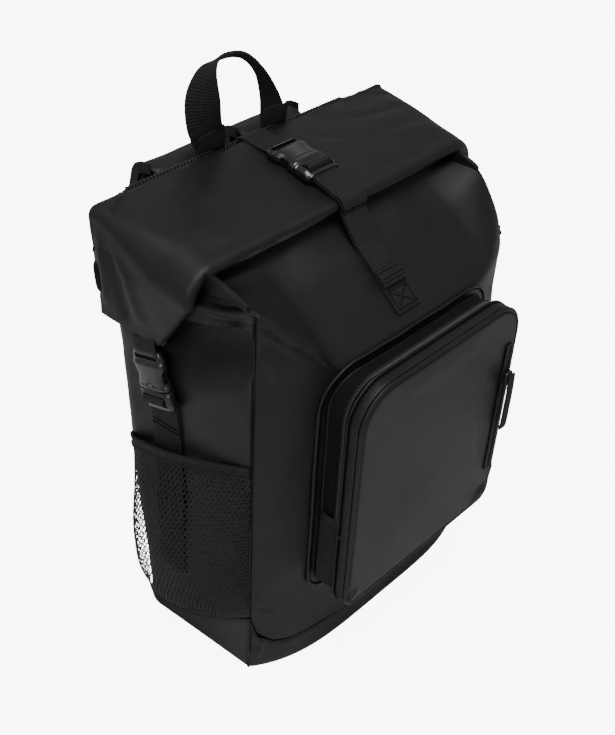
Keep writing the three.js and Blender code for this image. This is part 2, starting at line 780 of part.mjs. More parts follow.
function maleBuckle() {
  const half = buckle.width / 2;
  const long = buckle.maleLength;
  const frame = plate(
    [
      [-half, -CLEAR],
      [half, -CLEAR],
      [half, -long + buckle.corner],
      [half - buckle.corner, -long],
      [-half + buckle.corner, -long],
      [-half, -long + buckle.corner],
    ],
    buckle.thickness,
  );
  const middle = buckle.thickness / 2;
  const room = buckle.thickness - 2 * buckle.wall - 2 * CLEAR;
  const armX = half - 2 * buckle.wall - prong.sideGap;
  const reach = buckle.socketDepth - prong.tipGap;
  const armLength = reach + 2 * prong.root;
  const headX = armX + prong.headWidth / 2;
  const headY = (buckle.notchFrom + buckle.notchTo) / 2;
  const arms = [-1, 1].flatMap((side) => [
    box(prong.width, armLength, room, point(side * armX, reach / 2 - prong.root, middle)),
    box(prong.headWidth, prong.headLength, room, point(side * headX, headY, middle)),
  ]);
  const slotWidth = webbing.width + buckle.slotEase;
  const slots = [0.32, 0.72].map((share) =>
    box(slotWidth, buckle.slot, buckle.thickness * 3, point(0, -long * share, middle)),
  );
  return cut(join([frame, ...arms]), slots);
}

// The strap over the top

function topStrap() {
  const back = topBuckle.y + buckle.femaleLength;
  const front = topBuckle.y - buckle.maleLength;
  const slope = Math.atan2(rollTop(back) - rollTop(front), back - front);
  const placed = new THREE.Group();
  placed.position.set(topBuckle.x, topBuckle.y, rollTop(topBuckle.y) + CLEAR + topBuckle.lift);
  placed.rotation.x = slope;
  add("top_buckle_female", "plastic", femaleBuckle(), placed);
  add("top_buckle_male", "plastic", maleBuckle(), placed);
  backpack.add(placed);

  const half = webbing.thickness / 2;
  const across = point(1, 0, 0);
  const band = (places) =>
    places.map(({ y, z }) => ({ at: point(topBuckle.x, y, z), across, width: webbing.width }));
  const lift = CLEAR + half;
  const flapY = backTop - roll.thickness;
  const stub = [
    { y: backFace(pad.top) + CLEAR + pad.thickness * 0.7, z: pad.top + lift },
    { y: backTop - 1, z: roll.height + lift + ease.nose },
    { y: flapY, z: rollTop(flapY) + lift + ease.flap },
    { y: back + ease.clipGap, z: rollTop(back) + lift + ease.clip },
  ];
  add("top_stub", "webbing", ribbon(band(stub), webbing.thickness));

  // Each place's turn is how far the strap's outer side leans forward there, from straight up.
  const mouthY = roll.noseY + bag.mouthInset;
  const run = mouthY - frontFace(0);
  const climb = rollUnder(mouthY) - CLEAR - bag.slopeStart;
  const tilt = Math.atan2(climb, run);
  const lay = (y) => {
    const slope = bag.slopeStart + (climb * (y - frontFace(0))) / run;
    return { y, z: slope + lift / Math.cos(tilt), turn: tilt };
  };
  const noseTop = rollTop(roll.noseY);
  const nose = roll.noseY - lift - ease.nose;
  const bendY = roll.noseY + roll.thickness * 0.3;
  const { degToRad } = THREE.MathUtils;
  const overNose = [
    { y: nose, z: noseTop - roll.thickness * 0.8, turn: degToRad(85) },
    { y: nose - 0.2, z: noseTop - roll.thickness * 0.3, turn: degToRad(60) },
    { y: bendY, z: rollTop(bendY) + lift + ease.flap, turn: degToRad(11) },
    { y: front - ease.clipGap, z: rollTop(front) + lift + ease.clip, turn: 0 },
  ];
  const slopeRows = SLOPE_SHARES.map((share) => lay(lerp(anchor.endY, roll.noseY, share)));
  add("anchor_strap", "webbing", ribbon(band([...slopeRows, ...overNose]), webbing.thickness));
  const raised = ({ y, z, turn }) => ({
    y: y - anchor.layer * Math.sin(turn),
    z: z + anchor.layer * Math.cos(turn),
  });
  const freeRows = [lay(anchor.freeEndY), slopeRows[slopeRows.length - 1], ...overNose];
  add("free_strap", "webbing", ribbon(band(freeRows.map(raised)), webbing.thickness));
}

// The strap and buckle that hold each end of the roll down

function sideStrap(side, name) {
  const across = point(0, 1, 0);
  const half = webbing.thickness / 2;
  const reach = sideWebbing.width / 2;
  const onSide = (y, z) => point(side * (sideHalf(y, z) + CLEAR + half), y, z);
  const up = [sideWebbing.lowerEnd, sideWebbing.top].map((z) => ({
    at: onSide(sideWebbing.y, z),
    across: onSide(sideWebbing.y + reach, z).sub(onSide(sideWebbing.y - reach, z)),
    width: sideWebbing.width,
  }));
  const faceX = onSide(sideWebbing.y + reach, sideWebbing.top).x;
  add("side_webbing_" + name, "webbing", ribbon(up, webbing.thickness));

  const placed = new THREE.Group();
  const standX = faceX + side * (half + CLEAR);
  placed.position.set(standX, sideBuckle.y, sideBuckle.z);
  placed.rotation.set(0, (side * Math.PI) / 2, 0);
  const turned = new THREE.Group();
  turned.rotation.z = side * THREE.MathUtils.degToRad(90 - sideBuckle.tilt);
  placed.add(turned);
  add("side_buckle_female_" + name, "plastic", femaleBuckle(), turned);
  add("side_buckle_male_" + name, "plastic", maleBuckle(), turned);
  backpack.add(placed);

  // The stub from the clip up to the roll's end
  placed.updateMatrixWorld(true);
  const behind = (distance) =>
    turned.localToWorld(point(0, buckle.femaleLength + distance, buckle.thickness / 2));
  const from = behind(webbing.thickness / 2);
  const edgeZ = read(earEdge, "y", "z", from.y) - webbing.thickness / 3;
  const lean = Math.tan(THREE.MathUtils.degToRad(sideBuckle.tilt));
  const edgeY = from.y + lean * (edgeZ - from.z);
  const edgeX = side * (earFace(edgeY) - ear.thickness / 2 + ear.webbingInset);
  const buckleAcross = new THREE.Vector3().setFromMatrixColumn(turned.matrixWorld, 0);
  buckleAcross.multiplyScalar(Math.sign(buckleAcross.y));
  const stub = [
    { at: from, across: buckleAcross },
    { at: behind(webbing.thickness * 1.5), across: buckleAcross },
    { at: point(edgeX, edgeY, edgeZ), across, cutAlong: true },
  ].map((station) => ({ ...station, width: webbing.width }));
  add("ear_webbing_" + name, "webbing", ribbon(stub, webbing.thickness));
}

// The carrying loop, sewn to the top of the back panel

function grabHandle() {
  const y = backFace(pad.top) + CLEAR + pad.thickness * handle.depthShare;
  const base = pad.top + 2 * CLEAR;
  const middles = HANDLE_PATH.map((row) =>
    point(row.x * handle.halfSpan, y, base + row.z * handle.rise),
  );
  const curve = new THREE.CatmullRomCurve3(middles);
  const spans = HANDLE_PATH.length - 1;
  const count = spans * handle.steps;
  const stations = Array.from({ length: count + 1 }, (_, i) => {
    const share = i / handle.steps;
    const row = Math.min(Math.floor(share), spans - 1);
    const twist = lerp(HANDLE_PATH[row].turn, HANDLE_PATH[row + 1].turn, share - row);
    const turn = THREE.MathUtils.degToRad(twist);
    return {
      at: curve.getPoint(i / count),
      across: point(Math.cos(turn), -Math.sin(turn), 0),
      width: handle.width,
      cutAlong: i === 0 || i === count,
    };
  });
  add("grab_handle", "webbing", ribbon(stations, handle.thickness));
}

// The shoulder straps, hanging behind the back panel

function shoulderStrap(side, name) {
  const { taperFrom } = strap;
  const tabX = side * (pad.halfWidth - tab.inset);
  const padFace = (z) => backFace(z) + CLEAR + pad.thickness;
  const place = (row) => {
    const z = lerp(strap.topZ, strap.endZ, row.fall);
    const resting = padFace(Math.min(z, pad.top)) + CLEAR + strap.thickness / 2;
    const y = resting + row.stand * strap.stand;
    const x = side * lerp(strap.topX, strap.endX, row.out);
    return {
      at: point(x, y, z),
      across: point(1, 0, 0),
      width: lerp(strap.width, strap.endWidth, Math.max(0, row.fall - taperFrom) / (1 - taperFrom)),
    };
  };
  add("shoulder_strap_" + name, "cloth", ribbon(STRAP_PATH.map(place), strap.thickness, true));

  const [before, end] = STRAP_PATH.slice(-2).map((row) => place(row).at);
  const down = end.clone().sub(before).normalize();
  const across = point(1, 0, 0).addScaledVector(down, -down.x).normalize();
  const out = across.clone().cross(down).normalize();
  const frame = new THREE.Matrix4().makeBasis(across, down, out);
  const middle = end.clone().addScaledVector(down, adjuster.length / 2 + 2 * CLEAR);
  const outline = box(adjuster.width, adjuster.length, adjuster.thickness, point(0, 0, 0));
  const slots = [-0.25, 0.25].map((share) => {
    const at = point(0, share * adjuster.length, 0);
    return box(adjuster.width - 2 * adjuster.bar, adjuster.bar, adjuster.thickness * 3, at);
  });
  const lock = cut(outline, slots).applyMatrix4(frame.setPosition(middle));
  add("strap_adjuster_" + name, "plastic", lock);

  const tabFace = (z) => backFace(z) + CLEAR + tab.thickness;
  const half = webbing.thickness / 2;
  const start = middle.clone().addScaledVector(down, adjuster.length / 2 + webbing.thickness);
  const kneeZ = pad.bottom - half;
  const knee = point(tabX, padFace(pad.bottom) + CLEAR + 2 * half, kneeZ);
  const tabTop = tab.z + tab.length / 2;
  const endZ = tab.z;
  const stations = [
    start,
    start.clone().addScaledVector(down, 3 * webbing.thickness),
    start.clone().lerp(knee, 0.7),
    knee,
    point(tabX, tabFace(tabTop) + CLEAR + 3 * half, (kneeZ + tabTop) / 2 - half),
    point(tabX, tabFace(endZ) + CLEAR + half, endZ),
  ].map((at) => ({ at, across: point(1, 0, 0), width: webbing.width }));
  add("strap_webbing_" + name, "webbing", ribbon(stations, webbing.thickness));
  const tabStations = [1, -1].map((end) => {
    const z = tab.z + (end * tab.length) / 2;
    const at = point(tabX, backFace(z) + CLEAR + tab.thickness / 2, z);
    return { at, across: point(1, 0, 0), width: tab.width };
  });
  add("strap_tab_" + name, "webbing", ribbon(tabStations, tab.thickness));
}

bodyShell();
basePanel();
backPanel();
rollTopPiece();
frontPocket();
slipPocket();
topStrap();
grabHandle();
for (const [name, side] of [
  ["left", -1],
  ["right", 1],
]) {
  netPocket(side, name);
  sideStrap(side, name);
  shoulderStrap(side, name);
}

export default backpack;
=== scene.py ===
# %% [markdown]
# # A rolltop backpack
# The bag is near-black coated cloth: a tall body, a rolled mouth that is strapped down over the top, a
# zipped pocket in front, net pockets on the sides and padded shoulder straps behind. We dress a fixed
# frame of plain solids. Each soft solid is replaced by a fine mesh in the same place, and each hard one
# by a detailed one. Everything is modelled in millimetres and written to Blender in metres.

# %% The frame
import json
import math
from types import SimpleNamespace as Sizes

import bpy
import numpy as np
from mathutils import Matrix, Vector

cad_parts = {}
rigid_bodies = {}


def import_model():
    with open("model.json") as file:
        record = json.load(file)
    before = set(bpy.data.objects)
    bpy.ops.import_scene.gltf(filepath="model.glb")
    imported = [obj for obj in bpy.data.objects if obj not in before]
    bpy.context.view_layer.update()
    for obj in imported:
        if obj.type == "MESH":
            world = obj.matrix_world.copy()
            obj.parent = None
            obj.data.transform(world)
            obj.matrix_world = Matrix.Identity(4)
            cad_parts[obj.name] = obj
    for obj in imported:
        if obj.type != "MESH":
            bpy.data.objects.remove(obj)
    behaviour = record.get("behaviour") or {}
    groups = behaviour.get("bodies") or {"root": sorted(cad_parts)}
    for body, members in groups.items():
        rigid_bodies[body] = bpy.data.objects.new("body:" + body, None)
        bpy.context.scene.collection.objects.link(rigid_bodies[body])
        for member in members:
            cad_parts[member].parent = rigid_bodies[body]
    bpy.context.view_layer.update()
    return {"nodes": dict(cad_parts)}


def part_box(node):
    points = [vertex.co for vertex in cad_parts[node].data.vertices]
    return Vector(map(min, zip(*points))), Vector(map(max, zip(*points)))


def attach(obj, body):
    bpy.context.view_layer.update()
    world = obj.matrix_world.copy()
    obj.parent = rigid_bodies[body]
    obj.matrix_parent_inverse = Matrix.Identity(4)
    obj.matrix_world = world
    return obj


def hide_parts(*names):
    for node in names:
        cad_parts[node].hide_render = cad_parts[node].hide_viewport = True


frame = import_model()
MM = 0.001

# %% [markdown]
# The camera comes first, because everything else is judged through it. It looks down on the bag from its
# front left, a little rolled. Its place was found by matching corners of the bag with the picture, so it is
# written as a direction, a distance and a lens. The floor is a large pale plane, and the light is soft: big
# lamps stand for the boxes of a product studio.

# %% Camera and light
view = Sizes(azimuth=-48.10, elevation=38.44, roll=2.90, lens=55.20, shift_x=0.01325, shift_y=0.01779)
eye = Vector((-0.5676, -0.4711, 0.7908))


def camera_turn(azimuth, elevation, roll):
    """The camera's rotation for a direction of view in degrees."""
    a, e = math.radians(azimuth), math.radians(elevation)
    back = Vector((math.sin(a) * math.cos(e), -math.cos(a) * math.cos(e), math.sin(e)))
    level = back.to_track_quat("Z", "Y").to_matrix()
    return (level @ Matrix.Rotation(math.radians(roll), 3, "Z")).to_4x4()


camera = bpy.data.objects.new("camera", bpy.data.cameras.new("camera"))
camera.data.lens = view.lens
camera.data.shift_x, camera.data.shift_y = view.shift_x, view.shift_y
camera.matrix_world = Matrix.Translation(eye) @ camera_turn(view.azimuth, view.elevation, view.roll)
bpy.context.scene.collection.objects.link(camera)
bpy.context.scene.camera = camera


def lamp(name, place, size, power):
    """A square soft lamp that faces the bag's middle."""
    light = bpy.data.lights.new(name, "AREA")
    light.size, light.energy = size, power
    made = bpy.data.objects.new(name, light)
    made.location = place
    made.rotation_euler = (Vector((0, 0, 0.2)) - Vector(place)).to_track_quat("-Z", "Y").to_euler()
    bpy.context.scene.collection.objects.link(made)


lamp("box_above", (-0.25, -0.35, 2.1), 0.9, 34)
lamp("box_front", (0.3, -2.0, 0.9), 0.9, 3.4)
lamp("box_left", (-1.75, -0.5, 1.4), 0.9, 16)
lamp("box_back", (-0.5, 1.9, 0.9), 0.9, 3)
lamp("box_behind_right", (1.3, 1.2, 1.55), 0.35, 0.5)

world = bpy.data.worlds.new("studio")
world.use_nodes = True
sky = world.node_tree.nodes["Background"].inputs
sky["Color"].default_value = (1, 1, 1, 1)
sky["Strength"].default_value = 0.42
bpy.context.scene.world = world
print("camera at", [round(x, 3) for x in camera.location])

# %% [markdown]
# Materials are built from nodes. Three short helpers keep the trees readable: one makes a node, one makes a
# sum of two values, and one makes a node group with named sockets. A group is a reusable effect, such as a
# weave, that several finishes share with their own numbers.

# %% Node helpers


def feed(tree, socket, value):
    """Gives an input either a link or a plain number."""
    if isinstance(value, bpy.types.NodeSocket):
        tree.links.new(value, socket)
    else:
        socket.default_value = value


def node(tree, kind, inputs=(), **settings):
    """A new node with some of its settings, and links or numbers for some of its inputs."""
    made = tree.nodes.new(kind)
    for key, value in settings.items():
        setattr(made, key, value)
    for label, value in dict(inputs).items():
        feed(tree, made.inputs[label], value)
    return made


def calc(tree, operation, *values):
    """A Math node's result."""
    made = node(tree, "ShaderNodeMath", operation=operation)
    for socket, value in zip(made.inputs, values):
        feed(tree, socket, value)
    return made.outputs[0]


def new_group(name, inputs, outputs):
    """An empty node group, with its input and output nodes."""
    tree = bpy.data.node_groups.new(name, "ShaderNodeTree")
    for label, kind, value in inputs:
        socket = tree.interface.new_socket(label, in_out="INPUT", socket_type=kind)
        if value is not None:
            socket.default_value = value
    for label in outputs:
        tree.interface.new_socket(label, in_out="OUTPUT", socket_type="NodeSocketFloat")
    return tree, node(tree, "NodeGroupInput").outputs, node(tree, "NodeGroupOutput").inputs


# %% [markdown]
# Cloth and webbing are both woven, at different scales. A plain weave is two sets of threads that pass over
# and under each other, so the group draws rounded warp threads, rounded weft threads, and shows whichever
# lies on top. It reads the UV map, which every cloth piece carries in metres, so the threads keep their real
# size and follow the piece. The cast group is slower: two noises that stand for the uneven hand of a real
# coated cloth, which gives soft blotches of gloss and a few faint creases.

# %% Effects that several finishes share
FLOAT, VECTOR = "NodeSocketFloat", "NodeSocketVector"


def weave_group():
    """Threads per metre in, the height of the cloth out."""
    inputs = [("Vector", VECTOR, None), ("Across", FLOAT, 2000), ("Along", FLOAT, 2000)]
    tree, given, out = new_group("woven threads", inputs, ["Height"])
    parts = node(tree, "ShaderNodeSeparateXYZ", {"Vector": given["Vector"]}).outputs
    x = calc(tree, "MULTIPLY", parts["X"], given["Across"])
    y = calc(tree, "MULTIPLY", parts["Y"], given["Along"])

    def threads(run, across):
        rounded = calc(tree, "ABSOLUTE", calc(tree, "SINE", calc(tree, "MULTIPLY", across, math.pi)))
        count = calc(tree, "FLOOR", across)
        phase = calc(tree, "MULTIPLY", calc(tree, "ADD", run, count), math.pi)
        over = calc(tree, "MULTIPLY_ADD", calc(tree, "SINE", phase), 0.5, 0.5)
        return calc(tree, "MULTIPLY", rounded, over)

    crossed = calc(tree, "ADD", x, 1.0)
    feed(tree, out["Height"], calc(tree, "MAXIMUM", threads(y, x), threads(crossed, y)))
    return tree


def cast_group():
    """Slow unevenness: Gloss for roughness and colour, Crease for the bump."""
    inputs = [("Vector", VECTOR, None), ("Scale", FLOAT, 12)]
    tree, given, out = new_group("uneven hand", inputs, ["Gloss", "Crease"])

    def noise(scale, detail):
        look = {"Vector": given["Vector"], "Scale": scale, "Detail": detail}
        return node(tree, "ShaderNodeTexNoise", look).outputs["Fac"]

    feed(tree, out["Gloss"], noise(given["Scale"], 3))
    fine = noise(calc(tree, "MULTIPLY", given["Scale"], 4.0), 4)
    ridged = calc(tree, "ABSOLUTE", calc(tree, "SUBTRACT", fine, 0.5))
    feed(tree, out["Crease"], calc(tree, "SUBTRACT", 1.0, calc(tree, "MULTIPLY", ridged, 2.0)))
    return tree


WOVEN = weave_group()
UNEVEN = cast_group()
print("groups:", [g.name for g in bpy.data.node_groups])


# %% [markdown]
# Every finish of the bag is black, so they differ by how they catch light. One function builds them all: a
# weave for the threads, the uneven hand for blotches, and a Principled shader whose plain numbers, such as
# its specular level, sit on its own sockets. The coated cloth is a little shiny, the webbing is dull and
# coarse, and the moulded plastic is smooth with a fine grain.

# %% Finishes


def bump(tree, height, distance, under=None):
    """A Bump node's normal, laid over another one."""
    made = node(tree, "ShaderNodeBump", {"Strength": 1, "Distance": distance, "Height": height})
    if under:
        feed(tree, made.inputs["Normal"], under)
    return made.outputs["Normal"]


def finish(name, value, roughness, threads=None, weave=0.0, grain=0.00002, blotch=0.06, depth=0.3,
           specular=0.5):
    """A black finish: its grey, threads per metre, relief of weave and grain, and depth of the gaps.
    Black dye has a trace of blue."""
    material = bpy.data.materials.new(name)
    material.use_nodes = True
    tree = material.node_tree
    shader = tree.nodes["Principled BSDF"].inputs
    place = node(tree, "ShaderNodeTexCoord").outputs
    cast = node(tree, "ShaderNodeGroup", {"Vector": place["Object"]}, node_tree=UNEVEN).outputs
    dark, pale = [(value * k, value * k, value * k * 1.04, 1) for k in (0.8, 1.2)]
    tones = {"Factor": cast["Gloss"], "A": dark, "B": pale}
    shown = node(tree, "ShaderNodeMix", tones, data_type="RGBA").outputs["Result"]
    normal = bump(tree, cast["Crease"], grain)
    if threads:
        look = {"Vector": place["UV"], "Across": threads[0], "Along": threads[1]}
        height = node(tree, "ShaderNodeGroup", look, node_tree=WOVEN).outputs["Height"]
        gaps = {"Factor": depth, "A": shown, "B": height}
        shown = node(tree, "ShaderNodeMix", gaps, data_type="RGBA", blend_type="MULTIPLY").outputs["Result"]
        normal = bump(tree, height, weave, normal)
    feed(tree, shader["Specular IOR Level"], specular)
    feed(tree, shader["Roughness"], calc(tree, "MULTIPLY_ADD", cast["Gloss"], blotch * 2, roughness - blotch))
    feed(tree, shader["Base Color"], shown)
    feed(tree, shader["Normal"], normal)
    return material


COATED = finish("coated_cloth", 0.0042, 0.48, (2200, 2200), weave=0.00005, grain=0.00012, specular=0.28)
WEBBING = finish("webbing", 0.007, 0.7, (800, 420), weave=0.0006, grain=0.0001, depth=0.95, specular=0.3)
AIR_MESH = finish("air_mesh", 0.0035, 0.8, (330, 500), weave=0.0012, grain=0.0001, depth=0.9, specular=0.12)
KNOT = finish("mesh_knot", 0.014, 0.6, grain=0.00003, specular=0.4)
NETTING = finish("netting", 0.0055, 0.6, grain=0.00005, specular=0.3)
# The zip tape is darker and duller than the coated cloth: partly the tape's own tone, partly painted shade of
# the recess between flange and rim where it lies.
ZIP_TAPE_WITH_PAINTED_SHADE = finish("zip_tape", 0.0028, 0.8, (1400, 1400), weave=0.0002, grain=0.0001, specular=0.15)
ZIP_COIL = finish("zip_coil", 0.008, 0.4, grain=0.00003)
PAINTED = finish("painted_slider", 0.008, 0.32)
PLASTIC = finish("buckle_plastic", 0.008, 0.26, blotch=0.04)
THREAD = finish("thread", 0.0008, 0.9, specular=0.05)
print("finishes:", [m.name for m in bpy.data.materials])

# %% [markdown]
# A cloth surface is easiest to shape as a grid of points held in numpy arrays: rows by columns by x, y, z.
# These helpers turn a grid into a closed wall of cloth with an inner side and a rim, and carry a UV map in
# metres along. Working on arrays keeps thousands of points fast, and one line of arithmetic can lay a fold
# over a whole panel.

# %% Arithmetic for shapes


def smooth(low, high, value):
    """0 below low and 1 above high, with an even S-curve between them."""
    t = np.clip((value - low) / (high - low), 0, 1)
    return t * t * (3 - 2 * t)


def hill(value, top, half):
    """1 at the top of a smooth hill and 0 from half its width away."""
    t = np.clip(np.abs(value - top) / half, 0, 1)
    return (1 - t * t) ** 2


def mix(a, b, share):
    return a + (b - a) * share


def eased(places, values, at):
    """Reads a table as np.interp does, but turns smoothly at each row."""
    places, values = np.asarray(places, float), np.asarray(values, float)
    slopes = np.gradient(values, places)
    at = np.clip(at, places[0], places[-1])
    i = np.clip(np.searchsorted(places, at, side="right") - 1, 0, len(places) - 2)
    h = places[i + 1] - places[i]
    t = (at - places[i]) / h
    start = (2 * t**3 - 3 * t**2 + 1) * values[i] + (t**3 - 2 * t**2 + t) * h * slopes[i]
    end = (3 * t**2 - 2 * t**3) * values[i + 1] + (t**3 - t**2) * h * slopes[i + 1]
    return start + end


def unevenness(points, size, seed):
    """A soft random swell over space, about -1 to 1, whose hills are about size apart."""
    random = np.random.default_rng(seed)
    total = np.zeros(points.shape[:-1])
    for _ in range(9):
        direction = random.normal(size=3)
        direction *= 2 * math.pi / (size * random.uniform(0.8, 1.6) * np.linalg.norm(direction))
        total += np.sin(points @ direction + random.uniform(0, 2 * math.pi))
    return total / 3


def walked(points):
    """How far along a run of points each of them lies."""
    return np.concatenate([[0], np.cumsum(np.linalg.norm(np.diff(points, axis=0), axis=1))])


def line_distance(u, v, path):
    """How far each point lies from a drawn line, and how far along it (0 to 1) the nearest place is."""
    path = np.asarray(path, float)
    before = walked(path)
    best = np.full(np.shape(u), 1e9)
    along = np.zeros(np.shape(u))
    for k, (a, b) in enumerate(zip(path[:-1], path[1:])):
        d = b - a
        t = np.clip(((u - a[0]) * d[0] + (v - a[1]) * d[1]) / (d @ d), 0, 1)
        gap = np.hypot(u - a[0] - t * d[0], v - a[1] - t * d[1])
        near = gap < best
        best = np.where(near, gap, best)
        along = np.where(near, mix(before[k], before[k + 1], t) / before[-1], along)
    return best, along


def fold(u, v, path, width, height, ends=0.25):
    """A ridge, or with a negative height a crease, along a drawn line, which dies out at its ends."""
    gap, along = line_distance(u, v, path)
    fade = smooth(0, ends, along) * smooth(0, ends, 1 - along) if ends else 1
    return height * np.exp(-((gap / width) ** 2)) * fade


def add_folds(relief, weight, u, v, folds, ends=0.25):
    """Lays a table of folds over a relief. Each row is a drawn line, a width and a height."""
    for path, width, height in folds:
        relief += weight * fold(u, v, path, width, height, ends)


def spline(controls, step):
    """A smooth run through rows of numbers, resampled about every step millimetres along x, y and z."""
    controls = np.asarray(controls, float)
    padded = np.concatenate([2 * controls[:1] - controls[1:2], controls, 2 * controls[-1:] - controls[-2:-1]])
    fine = []
    t = np.linspace(0, 1, 24, endpoint=False)[:, None]
    for a, b, c, d in zip(padded[:-3], padded[1:-2], padded[2:-1], padded[3:]):
        bends = (2 * a - 5 * b + 4 * c - d) * t**2 + (3 * b - a - 3 * c + d) * t**3
        fine.append(0.5 * (2 * b + (c - a) * t + bends))
    fine = np.concatenate([*fine, controls[-1:]])
    return resampled(fine, step)


def resampled(run, step, closed=False):
    """The same run with its points an even distance apart."""
    if closed:
        run = np.concatenate([run, run[:1]])
    before = walked(run[:, :3])
    count = max(2, round(before[-1] / step) + 1)
    at = np.linspace(0, before[-1], count)
    made = np.stack([np.interp(at, before, run[:, k]) for k in range(run.shape[1])], 1)
    return made[:-1] if closed else made


def unit(vectors):
    return vectors / np.maximum(np.linalg.norm(vectors, axis=-1, keepdims=True), 1e-9)


# %% Grids into meshes


def grid_normals(grid):
    """Which way the outer side of a grid faces: across its columns, then up its rows."""
    along = np.roll(grid, -1, 1) - np.roll(grid, 1, 1)
    return unit(np.cross(along, np.gradient(grid, axis=0)))


def mesh_object(name, points, faces, uvs, material, sharp=40):
    """A smooth-shaded object from points in millimetres, faces, and one UV for each face's corner."""
    mesh = bpy.data.meshes.new(name)
    places = np.asarray(points, float).reshape(-1, 3) * MM
    mesh.from_pydata(places.tolist(), [], [list(map(int, face)) for face in faces])
    if uvs is not None:
        mesh.uv_layers.new(name="cloth").data.foreach_set("uv", (np.asarray(uvs, float) * MM).ravel())
    mesh.polygons.foreach_set("use_smooth", [True] * len(mesh.polygons))
    mesh.set_sharp_from_angle(angle=math.radians(sharp))
    mesh.materials.append(material)
    piece = bpy.data.objects.new(name, mesh)
    bpy.context.scene.collection.objects.link(piece)
    return piece


def grid_quads(layer, rows, spans, flip=False):
    """The quads of a grid as (layer, row, column) corners."""
    i, j = (a.ravel() for a in np.meshgrid(range(rows - 1), range(spans), indexing="ij"))
    steps = [(0, 0), (0, 1), (1, 1), (1, 0)]
    steps = steps[::-1] if flip else steps
    return np.stack([np.stack([np.full_like(i, layer), i + di, j + dj], -1) for di, dj in steps], 1)


def edge_quads(corners):
    """Quads from four (layer, row, column) rules, of which some are runs of numbers."""
    size = max(np.size(x) for corner in corners for x in corner)
    return np.stack([np.stack([np.broadcast_to(x, size) for x in corner], -1) for corner in corners], 1)


def wall(name, outer, thickness, cap=False):
    """A closed wall of coated cloth whose outer side is the grid, which closes on itself across its columns.
    cap closes both sides at the last row."""
    rows, columns = outer.shape[:2]
    layers = np.stack([outer, outer - thickness * grid_normals(outer)])
    last, j = rows - 1, np.arange(columns)
    quads = [grid_quads(0, rows, columns), grid_quads(1, rows, columns, flip=True)]
    quads.append(edge_quads([(1, 0, j), (1, 0, j + 1), (0, 0, j + 1), (0, 0, j)]))
    if not cap:
        quads.append(edge_quads([(0, last, j), (0, last, j + 1), (1, last, j + 1), (1, last, j)]))
    corners = np.concatenate(quads)
    layer, row, column = corners[..., 0], corners[..., 1], corners[..., 2]
    faces = (layer * rows * columns + row * columns + column % columns).tolist()
    middle_row = outer[rows // 2]
    across, up = walked(np.concatenate([middle_row, middle_row[:1]])), walked(outer[:, columns // 2])
    uvs = np.stack([across[column], up[row]], -1).reshape(-1, 2)
    if cap:
        ring = last * columns + np.arange(columns)
        faces += [ring.tolist(), (ring[::-1] + rows * columns).tolist()]
        flat = outer[last][:, :2]
        uvs = np.concatenate([uvs, flat, flat[::-1]])
    return mesh_object(name, layers, faces, uvs, COATED)


def loft(name, rings, material, sharp=40, closed=False):
    """A solid skin through closed rings of points, with flat ends, or joined end to end."""
    count, around = rings.shape[:2]
    following = np.concatenate([rings, rings[:1]]) if closed else rings
    corners = grid_quads(0, len(following), around, flip=True)
    row, column = corners[..., 1], corners[..., 2]
    faces = ((row % count) * around + column % around).tolist()
    across, along = walked(np.concatenate([rings[0], rings[0][:1]])), walked(following.mean(1))
    uvs = np.stack([across[column], along[row]], -1).reshape(-1, 2)
    if not closed:
        first = np.arange(around)
        faces += [first.tolist(), (first[::-1] + (count - 1) * around).tolist()]
        blank = np.zeros((around, 2))
        uvs = np.concatenate([uvs, blank, blank])
    return mesh_object(name, rings, faces, uvs, material, sharp)


def dress(piece, *replaced, slot=None):
    """Fixes a finished piece to the bag and hides the solids it replaces.
    The slot argument is not used."""
    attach(piece, "root")
    if replaced:
        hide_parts(*replaced)
    print(piece.name, len(piece.data.vertices), "points")
    return piece


SIDES = ((-1, "left"), (1, "right"))

# %% [markdown]
# The shape of the bag itself is a handful of rules: how the back leans, how the front bows out, how wide
# the sides stand at each depth, and how high the rolled mouth lies. The rules use the same sizes as the
# frame, so a piece that is built on them lies where its solid is. The two seam tables are shares of the
# height at which the base panel meets the front corners.

# %% The rules of the bag's shape
bag = Sizes(front_half=143, back_half=151.5, seam_y=-50, bow=26, back_y=76, lean=28.5 / 391, corner=20,
            seam_top_left=369, seam_top_right=318, slope_start=304, side_turn=348, mouth_inset=10,
            base_edge=6, seam_rise=66, puff_right=18, cloth=2)
roll = Sizes(height=391, drop=12, crown=2, thickness=10, nose_y=-2, bend=8)
ear = Sizes(tip_y=33, tip_z=304, heel_y=96, heel_z=305, thickness=7)
pocket = Sizes(half=95, bottom=88, top=303, front_y=-110, top_radius=32, bottom_radius=12, rim=15, gusset=170)
GAP = 0.3
SIDE_SEAM = ([0, 0.25, 0.61, 0.92, 1], [1, 0.68, 0.36, 0.2, 0.17])
FRONT_SEAM = ([0, 0.2, 0.5, 0.82, 1], [0.42, 0.42, 0.47, 0.64, 1])
FRONT_FOLD = ([0, 0.2, 0.4, 0.75, 1], [0, 0.08, 0.34, 0.72, 1])
FOLD_START = 0.5
SIDE_TURN = ([0, 0.16, 0.38, 1], [1, 0.5, 0.15, 0])


def back_face(z):
    return bag.back_y + bag.lean * z


BACK_TOP = back_face(roll.height - roll.thickness)


def front_face(x):
    return bag.seam_y - bag.bow * (1 - np.abs(x / bag.front_half) ** 4)


def depth_share(y, z):
    return np.clip((y - bag.seam_y) / (back_face(z) - bag.corner - bag.seam_y), 0, 1)


def side_half(y, z):
    r = bag.corner
    past = np.clip(y - (back_face(z) - r), 0, r)
    flat = mix(bag.front_half, bag.back_half, depth_share(y, z))
    return np.where(past > 0, bag.back_half - r + np.sqrt(np.maximum(r * r - past**2, 0)), flat)


def roll_share(y):
    return np.clip((BACK_TOP - y) / (BACK_TOP - roll.nose_y), 0, 1)


